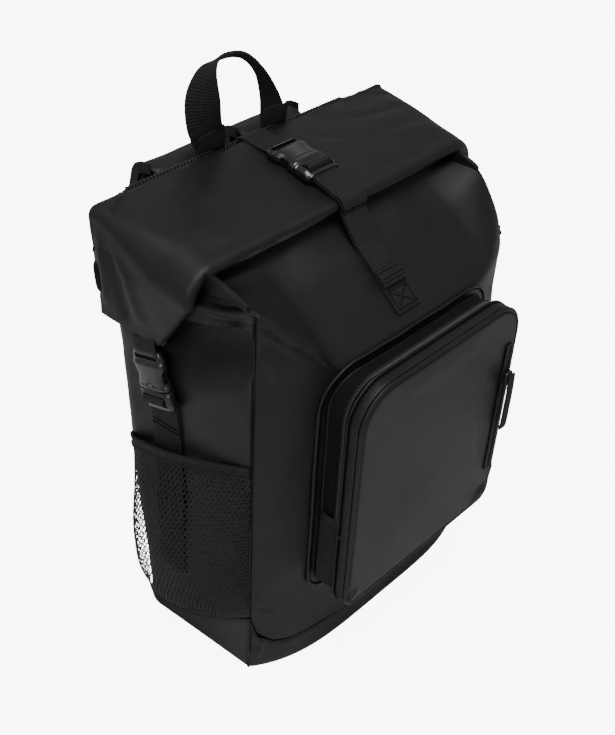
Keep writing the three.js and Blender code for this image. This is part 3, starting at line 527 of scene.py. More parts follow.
def roll_top_z(y):
    return roll.height - roll.drop * roll_share(y) + roll.crown * np.sin(math.pi * roll_share(y))


def roll_under_z(y):
    return roll.height - roll.drop * roll_share(y) - roll.thickness


print("the back's top edge is at y =", round(BACK_TOP, 1))

# %% [markdown]
# The body is a tube of cloth, sewn from a bowed front panel, two sides and a back. We describe it column by
# column around the bag: where the column stands, where its base seam is, where it folds over at the top, and
# where it ends under the roll. A wall that folds over sharply looks like card, so the corner between wall and
# slope is a running average of the two directions, which rounds it by a chosen amount.

# %% Columns around the body


def columns(*values):
    """A row for each column, from values that are one number or one for each column."""
    return np.stack(np.broadcast_arrays(*values), 1)


def body_columns():
    """x, the y where the column stands, how y grows with height, seam, fold, puff, rounding and mouth."""
    fore = np.sin(np.linspace(-math.pi / 2, math.pi / 2, 101))
    pocket_share = (pocket.half + 5 + GAP) / bag.front_half
    margin = np.clip((np.abs(fore) - pocket_share) / (1 - pocket_share), 0, 1)
    margin = (margin - 0.16 * (1 - np.exp(-margin / 0.16))) / 0.84
    rising = eased(*FRONT_FOLD, np.clip((np.abs(fore) - FOLD_START) / (1 - FOLD_START), 0, 1))
    top = np.where(fore < 0, bag.seam_top_left, bag.seam_top_right)
    mouth_y = roll.nose_y + bag.mouth_inset
    front = columns(
        fore * bag.front_half, front_face(fore * bag.front_half), 0,
        bag.seam_rise * np.interp(margin, *FRONT_SEAM), mix(bag.slope_start, top, rising),
        np.where(fore > 0, bag.puff_right * margin, 0), np.where(fore < 0, 4, 4 + 9 * rising),
        fore * (bag.front_half - bag.mouth_inset / 2), mouth_y, roll_under_z(mouth_y) - GAP,
        0, fore * bag.front_half)

    def side(sign):
        t = np.linspace(0, 1, 45)[1:] ** 1.4
        half = mix(bag.front_half, bag.back_half, t)
        seam_top = bag.seam_top_left if sign < 0 else bag.seam_top_right
        y = mix(mouth_y, BACK_TOP - bag.corner, (t + 0.15) / 1.15)
        start = bag.seam_y + t * (bag.back_y - bag.corner - bag.seam_y)
        return columns(
            sign * half, start, t * bag.lean, bag.seam_rise * eased(*SIDE_SEAM, t),
            mix(bag.side_turn, seam_top, eased(*SIDE_TURN, t)), 0, 5,
            sign * (half - bag.mouth_inset), y, roll_under_z(y) - GAP, sign, start)

    def corner(sign):
        share = np.linspace(0, 1, 9)[1:-1]
        angle = share * math.pi / 2
        centre = bag.back_half - bag.corner
        inner = bag.corner - bag.mouth_inset * (1 - share)
        y = BACK_TOP - bag.corner + inner * np.sin(angle)
        start = bag.back_y - bag.corner + bag.corner * np.sin(angle)
        return columns(
            sign * (centre + bag.corner * np.cos(angle)), start, bag.lean, bag.seam_rise * SIDE_SEAM[1][-1],
            bag.side_turn, 0, 5, sign * (centre + inner * np.cos(angle)), y, roll_under_z(y) - GAP,
            2 * sign, start)

    x = np.linspace(1, -1, 25) * (bag.back_half - bag.corner)
    back = columns(x, bag.back_y, bag.lean, bag.seam_rise * SIDE_SEAM[1][-1], bag.side_turn, 0, 5,
                   x, BACK_TOP, roll_under_z(BACK_TOP) - GAP, 3, x)
    return np.concatenate([front, side(1), corner(1), back, corner(-1)[::-1], side(-1)[::-1]]).T


(COLUMN_X, COLUMN_Y, COLUMN_LEAN, SEAM_Z, FOLD_Z, PUFF, ROUNDING,
 MOUTH_X, MOUTH_Y, MOUTH_Z, PANEL, PANEL_U) = body_columns()
print("columns around the body:", len(COLUMN_X))


def even_ends(count):
    """Shares from 0 to 1 that crowd together at both ends, where seams and folds are."""
    return (1 - np.cos(np.linspace(0, math.pi, count))) / 2


def body_grid():
    """The body's outer side before its folds, with the drop of each point below its column's fold."""
    wall_rows, slope_rows = even_ends(96), even_ends(42)[1:]
    rise = FOLD_Z - SEAM_Z - GAP
    fold_point = np.stack([COLUMN_X, COLUMN_Y + COLUMN_LEAN * FOLD_Z, FOLD_Z], -1)
    mouth = np.stack([MOUTH_X, MOUTH_Y, MOUTH_Z], -1)
    slope = np.linalg.norm(mouth - fold_point, axis=-1)
    up = np.stack([0 * COLUMN_X, COLUMN_LEAN, 1 + 0 * COLUMN_X], -1)
    over = (mouth - fold_point) / slope[:, None]
    past = np.concatenate([(wall_rows[:, None] - 1) * rise, slope_rows[:, None] * slope])
    w = ROUNDING
    straight = np.where((past < 0)[..., None], up * past[..., None], over * past[..., None])
    turned = (over * ((past + w) ** 2)[..., None] - up * ((past - w) ** 2)[..., None]) / (4 * w)[:, None]
    grid = fold_point + np.where((np.abs(past) < w)[..., None], turned, straight)
    share = np.clip(past / slope, 0, 1)
    grid[..., 2] += PUFF * 4 * share * (1 - share)
    return grid, past


# %% [markdown]
# Now the folds. Each is a short drawn line on its own panel, with a width and a height, added along the
# cloth's outward direction. A table lists them for each panel. The picture shows a soft rounded ridge that
# runs from the bend of the roll past the corner seam, a hollow in the side just below it, small puckers
# where seams meet, and slow swells everywhere. Where two panels are sewn together both turn in a little,
# which makes the dark line of a seam.

# %% Folds of the body


SEAM_TUCK = 2.2
SIDE_FOLDS = [
    ([(-49, 362), (-30, 346), (-2, 330)], 3.5, 2.6),
    ([(-50, 120), (-44, 96), (-40, 80)], 3, 1.0),
    ([(-48, 74), (-42, 88), (-44, 104)], 2.5, -1.0),
]
FRONT_FOLDS = [
    ([(-141, 356), (-128, 344), (-112, 338)], 3, 1.8),
    ([(-141, 347), (-130, 338), (-116, 322)], 2.4, -1.4),
    ([(-141, 338), (-134, 326), (-128, 310)], 3, 0.9),
    ([(-142, 100), (-137, 86), (-139, 70)], 2.2, 1.3),
    ([(-142, 84), (-134, 76), (-124, 72)], 2.2, -1.1),
    ([(112, 288), (124, 262), (128, 232)], 6, 1.4),
    ([(-108, 250), (-116, 190), (-112, 130)], 12, -1.2),
]


def body_relief(grid, past):
    """How far each point of the body stands out from the plain shape."""
    x, y, z = grid[..., 0], grid[..., 1], grid[..., 2]
    front, left, right = PANEL == 0, PANEL == -1, PANEL == 1
    below = past < 0
    relief = 1.1 * unevenness(grid, 110, 3) + 0.35 * unevenness(grid, 38, 4)
    seam = np.minimum(np.abs(np.abs(x) - bag.front_half), 60)
    seam_gap = np.where(front, seam, y - bag.seam_y)
    near_seam = np.hypot(seam_gap, np.where(below, 0, past))
    relief -= SEAM_TUCK * np.exp(-(near_seam**2)) * (np.abs(PANEL) < 1.5)
    relief -= SEAM_TUCK * np.exp(-(((z - SEAM_Z) / 1.4) ** 2)) * below
    relief -= 4.5 * hill(y, 0, 26) * smooth(0, 20, past) * front
    ridge = 2.6 * np.exp(-(((past - 1) / 4.5) ** 2)) - 1.3 * np.exp(-(((past + 7) / 2.2) ** 2))
    ridge -= 1.6 * np.exp(-(((past - 9) / 2.2) ** 2))
    ridge *= mix(0.45, 1, smooth(0, 14, seam_gap))
    left_front = front & (x < 0)
    relief += ridge * np.where(left_front, smooth(-86, -104, x), 0)
    relief += ridge * np.where(left, smooth(20, -30, y), 0)
    hollow = hill(z, mix(344, 322, smooth(-50, 20, y)), 34) * smooth(-49, -34, y) * smooth(76, 30, y)
    relief -= 3 * np.where(left, hollow, 0)
    ledge = mix(354, 331, smooth(-50, 16, y)) - z
    tucked = smooth(0, 5, ledge) * smooth(58, 18, ledge) * smooth(-49, -40, y) * smooth(70, 30, y)
    relief -= 12 * np.where(left, tucked, 0)
    swell = hill(y, -12, 50) * hill(z, 268, 70)
    relief += 3 * np.where(left | right, swell, 0)
    clear = smooth(0.5, 6, seam_gap)
    add_folds(relief, (left | right) * clear, y, z, SIDE_FOLDS)
    add_folds(relief, (front & below) * clear, x, z, FRONT_FOLDS)
    return relief


body, past_fold = body_grid()
body = body + body_relief(body, past_fold)[..., None] * grid_normals(body)
dress(wall("body_cloth", body, bag.cloth), "body_shell")

# %% [markdown]
# The base is a shallow pan of the same cloth. Its edge follows the body's seam, which rises at the front
# corners, and its floor is flat because it carries the bag. The rows run from the seam down, round the
# bottom edge and in to the middle.

# %% Base panel


def base_grid():
    seam = SEAM_Z - GAP
    down = even_ends(26)[:, None]
    z = seam * (1 - down)
    x = COLUMN_X + 0 * z
    y = COLUMN_Y + COLUMN_LEAN * z
    sides = np.stack([x, y, z], -1)
    turn = np.clip(1 - z / (bag.base_edge * 1.2), 0, 1)
    inward = unit(np.stack([-x, -y], -1)) * (bag.base_edge * (1 - np.sqrt(1 - turn**2)))[..., None]
    sides[..., :2] += inward
    rings = np.linspace(1, 0.02, 14)[1:, None, None] ** 0.8
    floor = sides[-1][None] * np.array([1, 1, 0]) * rings
    relief = -1.2 * np.exp(-(((z - SEAM_Z) / 2) ** 2)) + 0.5 * unevenness(sides, 60, 11) * smooth(0, 14, z)
    near = np.where(PANEL == 0, np.abs(np.abs(x) - bag.front_half), np.abs(y - bag.seam_y))
    relief -= 1.2 * np.exp(-((near / 1.6) ** 2)) * (np.abs(PANEL) < 1.5)
    lift = fold(PANEL_U + 0 * z, z, [(-141, 52), (-134, 34), (-136, 14)], 2.6, 1.8) * (PANEL == 0)
    sides = sides + ((relief + lift) * smooth(0, 4, z))[..., None] * grid_normals(sides[::-1])[::-1]
    return np.concatenate([sides, floor])[:, ::-1]


dress(wall("base_cloth", base_grid(), bag.cloth * 0.9, cap=True), "base_panel")

# %% [markdown]
# The mouth of the bag is rolled up and laid over the top like the flap of a parcel, and both ends of the
# roll hang down the sides as flat ears. We sweep one flattened loop along a path that runs across the top,
# round each shoulder and down. The loop keeps an upper and a lower layer, and gentle folds bend both of
# them together, as they do in real cloth.

# %% The rolled mouth


def ear_face(y):
    flat_y = np.minimum(y, ear.heel_y - bag.corner)
    return side_half(flat_y, ear.tip_z) + GAP + ear.thickness


FLAT_POINTS, NOSE_POINTS = 52, 10


def flat_loop(front, back, thickness):
    """A flattened loop as y and depth below the top, from the upper layer's back edge round the nose."""
    r = thickness / 2
    y = np.linspace(1, 0, FLAT_POINTS)
    turn = np.linspace(0, math.pi, NOSE_POINTS + 2)[1:-1]
    upper = np.stack([mix(front + r, back - r, y), 0 * y], 1)
    nose = np.stack([front + r - r * np.sin(turn), r - r * np.cos(turn)], 1)
    lower = np.stack([mix(front + r, back - r, y[::-1]), thickness + 0 * y], 1)
    tail = np.stack([back - r + r * np.sin(turn), r + r * np.cos(turn)], 1)
    return np.concatenate([upper, nose, lower, tail])


def roll_stations():
    """Half of the path across the bag: its share of the flat, of the turn at the shoulder and of the fall."""
    across = [(s, 0, 0) for s in np.sin(np.linspace(0, math.pi / 2, 60))]
    bend = [(1, t, 0) for t in np.linspace(0, 1, 13)[1:]]
    fall = [(1, 1, f) for f in np.linspace(0, 1, 41)[1:]]
    return across + bend + fall


def roll_ring(side, station):
    flat, turn, fall = station
    thickness = mix(roll.thickness, ear.thickness, min(1, fall * 3))
    thickness = mix(thickness, 4.6, smooth(0.86, 1, fall))
    front = mix(roll.nose_y, ear.tip_y, fall)
    back = mix(BACK_TOP, ear.heel_y, fall)
    loop = flat_loop(front, back, thickness)
    y, depth = loop[:, 0], loop[:, 1]
    share = (y - front) / (back - front)
    angle = turn * math.pi / 2
    bend = mix(26, roll.bend, smooth(25, 98, y))
    radius = bend - depth
    x = flat * (ear_face(BACK_TOP) - bend)
    end_z = mix(ear.tip_z, ear.heel_z, share)
    reach = x + radius * math.sin(angle) + (ear_face(y) - ear_face(BACK_TOP)) * fall
    z = mix(roll_top_z(y) - bend + radius * math.cos(angle), end_z, fall)
    return np.stack([side * reach, y, z], 1)


EAR_FOLDS = [
    ([(92, 388), (88, 350), (86, 312)], 5, 2.2),
    ([(88, 372), (74, 344), (64, 308)], 5, -2.6),
    ([(76, 368), (62, 350), (50, 312)], 6, 1.7),
    ([(98, 350), (96, 320)], 5, -2.4),
    ([(82, 384), (92, 366), (104, 350)], 1.3, -1.3),
]
FLAP_FOLDS = [
    ([(60, 92), (104, 70), (150, 62)], 5, -0.6, -1.6),
    ([(30, 84), (78, 50), (140, 34)], 6, -0.4, -1.8),
    ([(52, 70), (96, 44), (150, 22)], 6, 0.5, 1.6),
    ([(132, 96), (144, 60), (148, 20)], 6, 0.3, 1.0),
    ([(40, 18), (90, 10), (140, 14)], 4, -0.7, -1.3),
    ([(124, 106), (140, 92), (156, 80)], 1.6, -1.3, -1.0),
]


def roll_relief(grid, side, fall):
    """Folds of the roll: soft fans on the ears, and long shallow creases on the flap, whose rows have a
    height for the left half and one for the right."""
    x, y, z = grid[..., 0] * side, grid[..., 1], grid[..., 2]
    relief = 0.9 * unevenness(grid, 90, 21) + 0.3 * unevenness(grid, 30, 22)
    hanging = smooth(0.02, 0.3, fall)
    add_folds(relief, hanging, y, z, EAR_FOLDS, ends=0.2)
    flap = [(path, width, np.where(side > 0, right, left)) for path, width, left, right in FLAP_FOLDS]
    add_folds(relief, 1 - hanging, x, y, flap, ends=0.3)
    return relief


def rolled_grid():
    stations = roll_stations()
    path = [(-1, s) for s in reversed(stations)] + [(1, s) for s in stations[1:]]
    grid = np.stack([roll_ring(side, s) for side, s in path])
    sides = np.array([side for side, _ in path])[:, None]
    fall = np.array([s[2] for _, s in path])[:, None]
    layer = np.where(np.arange(grid.shape[1]) < FLAT_POINTS + NOSE_POINTS / 2, 1, -1)[:, None]
    return grid + roll_relief(grid, sides, fall)[..., None] * grid_normals(grid) * layer


dress(wall("rolled_mouth", rolled_grid(), 1.9), "roll_top")

# %% [markdown]
# The zipped pocket stands out from the front. A flange of cloth is sewn flat to the panel, a coil zip runs
# round the top and sides, and the front is a shallow tray with a piped rim. All of them follow one rounded
# outline, so one function draws it at any inset, and another sweeps a small profile along it.

# %% Pocket outline and sweeps


def pocket_outline(inset, part="all"):
    """x and z round the pocket, clockwise from its left gusset seam, seen from the front."""
    half = pocket.half - inset
    low, high = pocket.bottom + inset, pocket.top - inset
    big, small = max(1, pocket.top_radius - inset), max(1, pocket.bottom_radius - inset)

    def arc(x, z, r, start, end):
        a = np.radians(np.linspace(start, end, 14))
        return np.stack([x + r * np.cos(a), z + r * np.sin(a)], 1)

    upper = np.concatenate([[(-half, pocket.gusset + GAP)], arc(-half + big, high - big, big, 180, 90),
                            arc(half - big, high - big, big, 90, 0), [(half, pocket.gusset + GAP)]])
    lower = np.concatenate([[(half, pocket.gusset)], arc(half - small, low + small, small, 0, -90),
                            arc(-half + small, low + small, small, -90, -180), [(-half, pocket.gusset)]])
    run = {"upper": upper, "lower": lower, "all": np.concatenate([upper, lower])}[part]
    flat = np.stack([run[:, 0], run[:, 1], 0 * run[:, 0]], 1)
    return resampled(flat, 2.2, closed=part == "all")[:, :2]


def outward(line, closed):
    """Unit normals of a clockwise line in x and z, away from its inside."""
    along = np.roll(line, -1, 0) - np.roll(line, 1, 0) if closed else np.gradient(line, axis=0)
    return unit(np.stack([-along[:, 1], along[:, 0]], 1))


def at_depth(line, y):
    """A line in x and z as points in space, with one y or a y for each."""
    return np.stack([line[:, 0], np.broadcast_to(y, len(line)), line[:, 1]], 1)


def sweep(line, profile, base):
    """Rings of (out, forward) pairs round a closed line. base gives the y that forward starts from."""
    out = outward(line, True)
    places = [(line + out * off, ahead) for off, ahead in profile]
    return np.stack([at_depth(at, base(at[:, 0]) - ahead) for at, ahead in places], 1)


def rounded_box(x0, x1, y0, y1, r, steps=4):
    """A rounded rectangle as a run of points, counter-clockwise."""
    made = []
    corners = [(x1 - r, y0 + r, -90), (x1 - r, y1 - r, 0), (x0 + r, y1 - r, 90), (x0 + r, y0 + r, 180)]
    for cx, cy, start in corners:
        for a in np.radians(np.linspace(start, start + 90, steps)):
            made.append((cx + r * math.cos(a), cy + r * math.sin(a)))
    return made


def on_panel(x):
    """The front panel's face, a hair proud of it, where flat trims are laid."""
    return front_face(x) - GAP


def capsules(places, along, side, up, profile):
    """Points and faces of small six-sided capsules. profile has how far along and how wide for four rings."""
    turn = np.linspace(0, 2 * math.pi, 6, endpoint=False)[:, None]
    spokes = side[:, None] * np.cos(turn) + up[:, None] * np.sin(turn)
    rings = [places[:, None] + along[:, None] * far + spokes * radius for far, radius in profile]
    one = [[6 * k + m, 6 * k + (m + 1) % 6, 6 * k + 6 + (m + 1) % 6, 6 * k + 6 + m]
           for k in range(3) for m in range(6)]
    one += [[5, 4, 3, 2, 1, 0], [18, 19, 20, 21, 22, 23]]
    faces = [[24 * k + corner for corner in face] for k in range(len(places)) for face in one]
    return np.stack(rings, 1).reshape(-1, 3), faces


def stitches(name, line, facing, length=2.2, pitch=3.6, radius=0.5, slot="coated_cloth"):
    """A row of thread stitches: small capsules, half sunk, along a line of points in space."""
    line = np.asarray(line, float)
    facing = np.broadcast_to(np.asarray(facing, float), line.shape)
    runs, facing = np.split(resampled(np.concatenate([line, facing], 1), pitch), 2, axis=1)
    along = unit(np.gradient(runs, axis=0))
    side = unit(np.cross(along, facing))
    shares = [(-0.5, 0.35), (-0.3, 1), (0.3, 1), (0.5, 0.35)]
    profile = [(share * length, wide * radius) for share, wide in shares]
    points, faces = capsules(runs, along, side, np.cross(side, along), profile)
    dress(mesh_object(name, points, faces, None, THREAD), slot=slot)


def ring_round(inset):
    """The pocket's outline with its first point again at its end."""
    line = pocket_outline(inset)
    return np.concatenate([line, line[:1]])


print("points round the pocket:", len(pocket_outline(0)))

# %% [markdown]
# The flange has a fine cord sewn into both edges, which is what catches the light round the pocket. Two
# rows of stitches hold it. Its profile is a flat band with two round beads.

# %% Pocket flange


def bead(x, y, r, steps, start, end):
    return [(x + r * math.cos(a), y + r * math.sin(a)) for a in np.radians(np.linspace(start, end, steps))]


FLANGE = (bead(3.8, 1.5, 1.3, 9, -90, 150) + [(2.2, 0.5), (1.6, 1.7), (-1.0, 1.5), (-3.4, 1.9), (-4.0, 0.6)]
          + bead(-5.5, 1.8, 1.2, 9, 30, 270))
GUSSET_SEAM_WIDTH = 2.6
rings = sweep(pocket_outline(0), FLANGE, on_panel)
swell = 0.35 * unevenness(rings, 34, 31) * smooth(0.2, 2, on_panel(rings[..., 0]) - rings[..., 1])
rings[..., 1] -= swell + hill(rings[..., 2], pocket.gusset + 1, GUSSET_SEAM_WIDTH) * (rings[..., 0] < 0)
dress(loft("pocket_flange_cloth", rings, COATED, closed=True), "pocket_flange")
for row, inset in (("outer", -1.7), ("inner", 2.9)):
    ring = ring_round(inset)
    stitches("flange_stitches_" + row, at_depth(ring, on_panel(ring[:, 0]) - 1.75), (0, -1, 0))

# %% [markdown]
# A coil zip is one nylon thread wound into a spiral and sewn along a tape. Winding it here gives the fine
# ribs that the picture shows at the corner. The same function winds the small zip of the slip pocket.

# %% Zip coils


def coil(name, line, across, lift, width, height, replaced, pitch=1.8, wire=0.52):
    """A flattened spiral of wire along a line. across and lift are unit vectors for each point."""
    turns = int(walked(line)[-1] / pitch)
    steps = turns * 8 + 1
    share = np.linspace(0, len(line) - 1, steps)
    cells = np.arange(len(line))

    def at(values):
        return np.stack([np.interp(share, cells, values[:, k]) for k in range(3)], 1)

    centre, wide, high = at(line), unit(at(across)), unit(at(lift))
    angle = np.linspace(0, turns * 2 * math.pi, steps)[:, None]
    path = centre + wide * np.cos(angle) * (width / 2 - wire) + high * np.sin(angle) * (height / 2 - wire)
    along = unit(np.gradient(path, axis=0))
    side = unit(np.cross(along, high))
    up = np.cross(side, along)
    turn = np.linspace(0, 2 * math.pi, 5, endpoint=False)
    rings = np.stack([path + wire * (side * math.cos(t) + up * math.sin(t)) for t in turn], 1)
    dress(loft(name, rings, ZIP_COIL, sharp=80), replaced)


FLANGE_TOP, RIM_BACK = 3.3, -97.3


def pocket_wall(line, out, loop):
    """Rings of a wall from the flange to the rim. loop has (out, share of the way forward) for each point."""
    places = [(line + out * off, share) for off, share in loop]
    return np.stack([at_depth(at, mix(on_panel(at[:, 0]) - FLANGE_TOP, RIM_BACK, share))
                     for at, share in places], 1)


def pocket_zip():
    line = pocket_outline(4, "upper")
    out = outward(line, False)
    shares = [1, 0.66, 0.33, 0]
    rings = pocket_wall(line, out, [(0, s) for s in shares] + [(-1.6, s) for s in shares[::-1]])
    # The tape's finish carries painted shade of the recess, on top of its own dark tone.
    dress(loft("pocket_zip_tape_cloth", rings, ZIP_TAPE_WITH_PAINTED_SHADE), "pocket_zip_tape")
    across = np.tile((0.0, 1.0, 0.0), (len(line), 1))
    lift = at_depth(out, 0)
    coil("pocket_zip_teeth", at_depth(line + out * 1.1, -90), across, lift, 5.6, 1.5, "pocket_zip_coil")


pocket_zip()

# %% [markdown]
# Below the zip the wall of the pocket is plain cloth, a gusset. It is joined to the zip by a short cross
# seam, which shows as a light band.

# %% Pocket gusset


def pocket_gusset():
    line = pocket_outline(2.3, "lower")
    out = outward(line, False)
    shares = [0, 0.1, 0.25, 0.4, 0.55, 0.7, 0.85, 1]
    loop = [(0, s) for s in shares[::-1]] + [(-bag.cloth, s) for s in shares]
    rings = pocket_wall(line, out, [(off - 0.7 * math.sin(math.pi * s), s) for off, s in loop])
    rings += 0.5 * unevenness(rings, 26, 41)[..., None] * at_depth(out, 0)[:, None]
    dress(loft("pocket_gusset_cloth", rings, COATED), "pocket_gusset")
    section = np.array(rounded_box(-0.9, 0.9, -4.5, 4.5, 0.6))
    for side, name in SIDES:
        x = side * (pocket.half - 2.3 + 0.1 + section[:, 0])
        ends = [at_depth(np.stack([x, pocket.gusset + section[:, 1]], 1), y) for y in (-78.5, -94.6)]
        dress(loft("gusset_seam_" + name, np.stack(ends[::-side]), COATED))


pocket_gusset()

# %% [markdown]
# The pocket's front is a tray of stiff cloth. Its rim is piped along both edges and stitched near the zip,
# and the face is nearly flat, with a soft swell and puckers at the lower corners.

# %% Pocket front


POCKET_FOLDS = [
    ([(94, 104), (80, 96), (68, 94)], 3.2, 1.8),
    ([(93, 116), (84, 106), (72, 103)], 3.0, -1.6),
    ([(95, 130), (90, 112), (84, 104)], 3, 1.0),
    ([(-94, 96), (-86, 98), (-80, 104)], 2.6, 1.2),
    ([(-93, 106), (-86, 106)], 2.4, -0.9),
    ([(-60, 290), (0, 284), (60, 290)], 9, 0.8),
    ([(70, 270), (62, 200), (68, 140)], 9, -0.7),
]


def pocket_front():
    line = pocket_outline(0)
    out = outward(line, True)
    rim_back = pocket.front_y + pocket.rim
    profile = [(-0.2, 0), (0.8, 0.3), (1.1, 1.0), (0.7, 1.8), (-0.9, 2.3), (-0.8, 2.6), (0.0, 3.0),
               (0.25, 5.5), (0.3, 8), (0.1, 10), (-0.1, 11.1), (-1.3, 11.5), (-1.2, 11.8), (0.5, 12.2),
               (0.8, 13), (0.4, 14), (-0.5, 14.7), (-1.6, 14.9), (-2.4, 14.3), (-2.9, 13.6),
               (-3.4, 14.4), (-4.2, 14.8)]
    rows = [at_depth(line + out * off, rim_back - ahead) for off, ahead in profile]
    centre = np.array([0, (pocket.bottom + pocket.top) / 2])
    shares = np.linspace(1, 0.015, 46)
    rows += [at_depth(mix(centre, line - out * 5.2, share), pocket.front_y) for share in shares]
    grid = np.stack(rows)[:, ::-1]
    x, y, z = grid[..., 0], grid[..., 1], grid[..., 2]
    face = smooth(-108, -109.6, y)
    relief = face * (1.6 * hill(x, 0, 110) * hill(z, 200, 130) + 0.12 * unevenness(grid, 90, 51))
    add_folds(relief, face, x, z, POCKET_FOLDS)
    side_band = 1 - face
    relief += side_band * 0.1 * unevenness(grid, 24, 53)
    relief += side_band * 1.2 * hill(z, 164, 2.6) * (x < 0)
    grid = grid + relief[..., None] * grid_normals(grid)
    dress(wall("pocket_front_cloth", grid, 1.5, cap=True), "pocket_front")
    ring = ring_round(-0.45)
    stitches("rim_stitches", at_depth(ring, rim_back - 3.6), at_depth(outward(ring, False), 0))


pocket_front()

# %% [markdown]
# A slip pocket opens in the face through a short upright zip. Two narrow lips of cloth frame it, a slider
# hangs near the top and a soft pull of tape hangs from that.

# %% Slip pocket and zip pulls
slip = Sizes(x=84.5, top=263, bottom=128, width=9, lip=2.2)


def slip_pocket():
    half, r, edge = slip.width / 2, 1.6, slip.lip / 2 + 0.1
    ring = rounded_box(slip.x - half + edge, slip.x + half - edge, slip.bottom + edge, slip.top - edge, r, 5)
    ring = np.array(ring)[::-1]
    ring = resampled(np.stack([ring[:, 0], ring[:, 1], 0 * ring[:, 0]], 1), 1.2, closed=True)[:, :2]
    lip = rounded_box(-1.0, 1.1, 0.3, 2.0, 0.7)
    rings = sweep(ring, lip, lambda x: pocket.front_y)
    dress(loft("slip_welt_cloth", rings, COATED, closed=True), "slip_welt")
    z = np.linspace(slip.bottom + 2.6, slip.top - 2.6, 60)
    path = columns(slip.x, pocket.front_y - 1.1, z)
    coil("slip_zip_teeth", path, 0 * path + (1, 0, 0), 0 * path + (0, -1, 0), 3.8, 1.4, "slip_coil",
         pitch=1.2, wire=0.32)


slip_pocket()


SIDE_ON = (1, 0, 0)
ROUND_END = 1.5


def band(name, spine, across, width, thickness, *replaced, rib=1.7, ribs=0.12):
    """Webbing along a spine of points: rounded edges, fine ribs across, and ends that round off."""
    spine = np.asarray(spine, float)
    across = np.broadcast_to(np.asarray(across, float), spine.shape)
    along = unit(np.gradient(spine, axis=0))
    across = unit(across - along * (across * along).sum(1, keepdims=True))
    up = np.cross(across, along)
    run = walked(spine)
    width = np.broadcast_to(np.asarray(width, float), len(spine))
    ridge = ribs * np.cos(run * 2 * math.pi / rib)
    ends = smooth(-0.01, ROUND_END, np.minimum(run, run[-1] - run))
    half = thickness / 2
    section = [(-1, 0), (-0.985, 0.7), (-0.94, 1), (-0.5, 0.96), (0, 0.98), (0.5, 0.96), (0.94, 1),
               (0.985, 0.7)]
    section += [(-u, -v) for u, v in section]
    rings = np.zeros((len(spine), len(section), 3))
    for k, (u, v) in enumerate(section):
        tall = v * (half * (0.45 + 0.55 * ends)) + np.sign(v) * (ridge * (abs(v) > 0.9))
        rings[:, k] = spine + across * (u * width / 2)[:, None] + up * tall[:, None]
    return dress(loft(name, rings[:, ::-1], WEBBING), *replaced)


def pull_tape(name, top, face, sway, width, thickness, length, replaced):
    """A loop of tape that hangs from a slider: it leaves the loop, bellies a little and ends in a fold."""
    top, face, sway = (np.asarray(v, float) for v in (top, face, sway))
    rows = [(0, 0.1, 0), (0.12, 0.5, 0.1), (0.35, 0.6, 0.6), (0.62, 0.2, 1.2), (0.85, 0.3, 1.1),
            (1, 0.1, 0.6)]
    down = np.array([0, 0, -1.0])
    spine = spline([top + down * length * s + face * f + sway * w for s, f, w in rows], 0.55)
    band(name, spine, np.cross(face, (0, 0, 1.0)), width, thickness, replaced, rib=1.1, ribs=0.07)


pull_tape("slip_pull_tape", (slip.x, -117.6, 236), (0, -1, 0), (1.2, 0, 0), 8, 1.8, 58, "slip_pull")
pull_tape("pocket_pull_tape", (98, -90, 193), (1, 0, 0), (0, -1, 0), 7.4, 1.6, 50, "pocket_pull")

# %% [markdown]
# The side pockets are knitted net with hexagonal holes, open enough to see through. Drawing the cells flat
# and placing every corner on the pocket's bulging surface gives real threads, each a thin four-sided bar.
# One edge of each cell is doubled in a real knit, so the upright threads are made a little wider.

# %% Side nets
NET_BULGE = ([0, 0.2, 0.45, 0.75, 1], [0, 0.62, 1, 0.8, 0.26])
HEM = [(0.2, 0.2), (0.2, 1.3), (0.9, 2.3), (1.9, 2.5), (2.8, 1.7), (3.6, 1.35), (6, 1.5), (8.4, 1.35),
       (9.3, 1.8), (10.2, 2.7), (11.3, 2.6), (12, 1.7), (12, 0.5), (10, 0.15), (6, 0.1), (2, 0.1)]
net = Sizes(front_hem=222, back_hem=172, back_margin=8, bulge=30, cell=4.9, height=176,
            thread=0.58, doubled=0.72)


def net_hem_z(y):
    return mix(net.front_hem, net.back_hem, (y - bag.seam_y) / (BACK_TOP - bag.seam_y))


def net_floor(y):
    return bag.seam_rise * np.interp(depth_share(y, 0), *SIDE_SEAM) + 2


def net_point(side, across, height, depth):
    """A point of the net from its front edge to its back edge and from its seam to its hem."""
    floor_back = net_floor(back_face(0) - net.back_margin)
    y = mix(bag.seam_y + 1, back_face(mix(floor_back, net.back_hem, height)) - net.back_margin, across)
    z = mix(net_floor(y), net_hem_z(y), height)
    skew = mix(1.3, 1, height**2)
    stand = np.sin(math.pi * np.clip(across, 0, 1) ** skew) ** mix(0.65, 1, height**2)
    stand = stand * net.bulge * eased(*NET_BULGE, height)
    return np.stack([side * (side_half(y, z) + GAP + stand + depth), y, z], -1)


def net_threads():
    """Both ends of every thread, as shares across and up the pocket, even along the bulging surface."""
    shares = np.linspace(0, 1, 400)
    girth = walked(net_point(1, shares, 0.55, 0))
    pitch_x, pitch_z = net.cell, net.cell * 1.5 / math.sqrt(3)
    r = net.cell / math.sqrt(3)
    threads = []
    for row in range(-1, int(net.height / pitch_z) + 2):
        for column in range(-1, int(girth[-1] / pitch_x) + 2):
            x = (column + 0.5 * (row % 2)) * pitch_x
            z = row * pitch_z
            right, right_low = (x + pitch_x / 2, z + r / 2), (x + pitch_x / 2, z - r / 2)
            threads += [(right, right_low), ((x, z + r), right), ((x, z - r), right_low)]
    ends = np.array(threads) / [girth[-1], net.height]
    ends = np.clip(ends[((ends > -0.004) & (ends < 1.004)).all((1, 2))], 0, 1)
    ends[..., 0] = np.interp(ends[..., 0] * girth[-1], girth, shares)
    print("net, laid flat:", round(girth[-1]), "by", net.height, "mm, with", len(ends), "threads")
    return ends


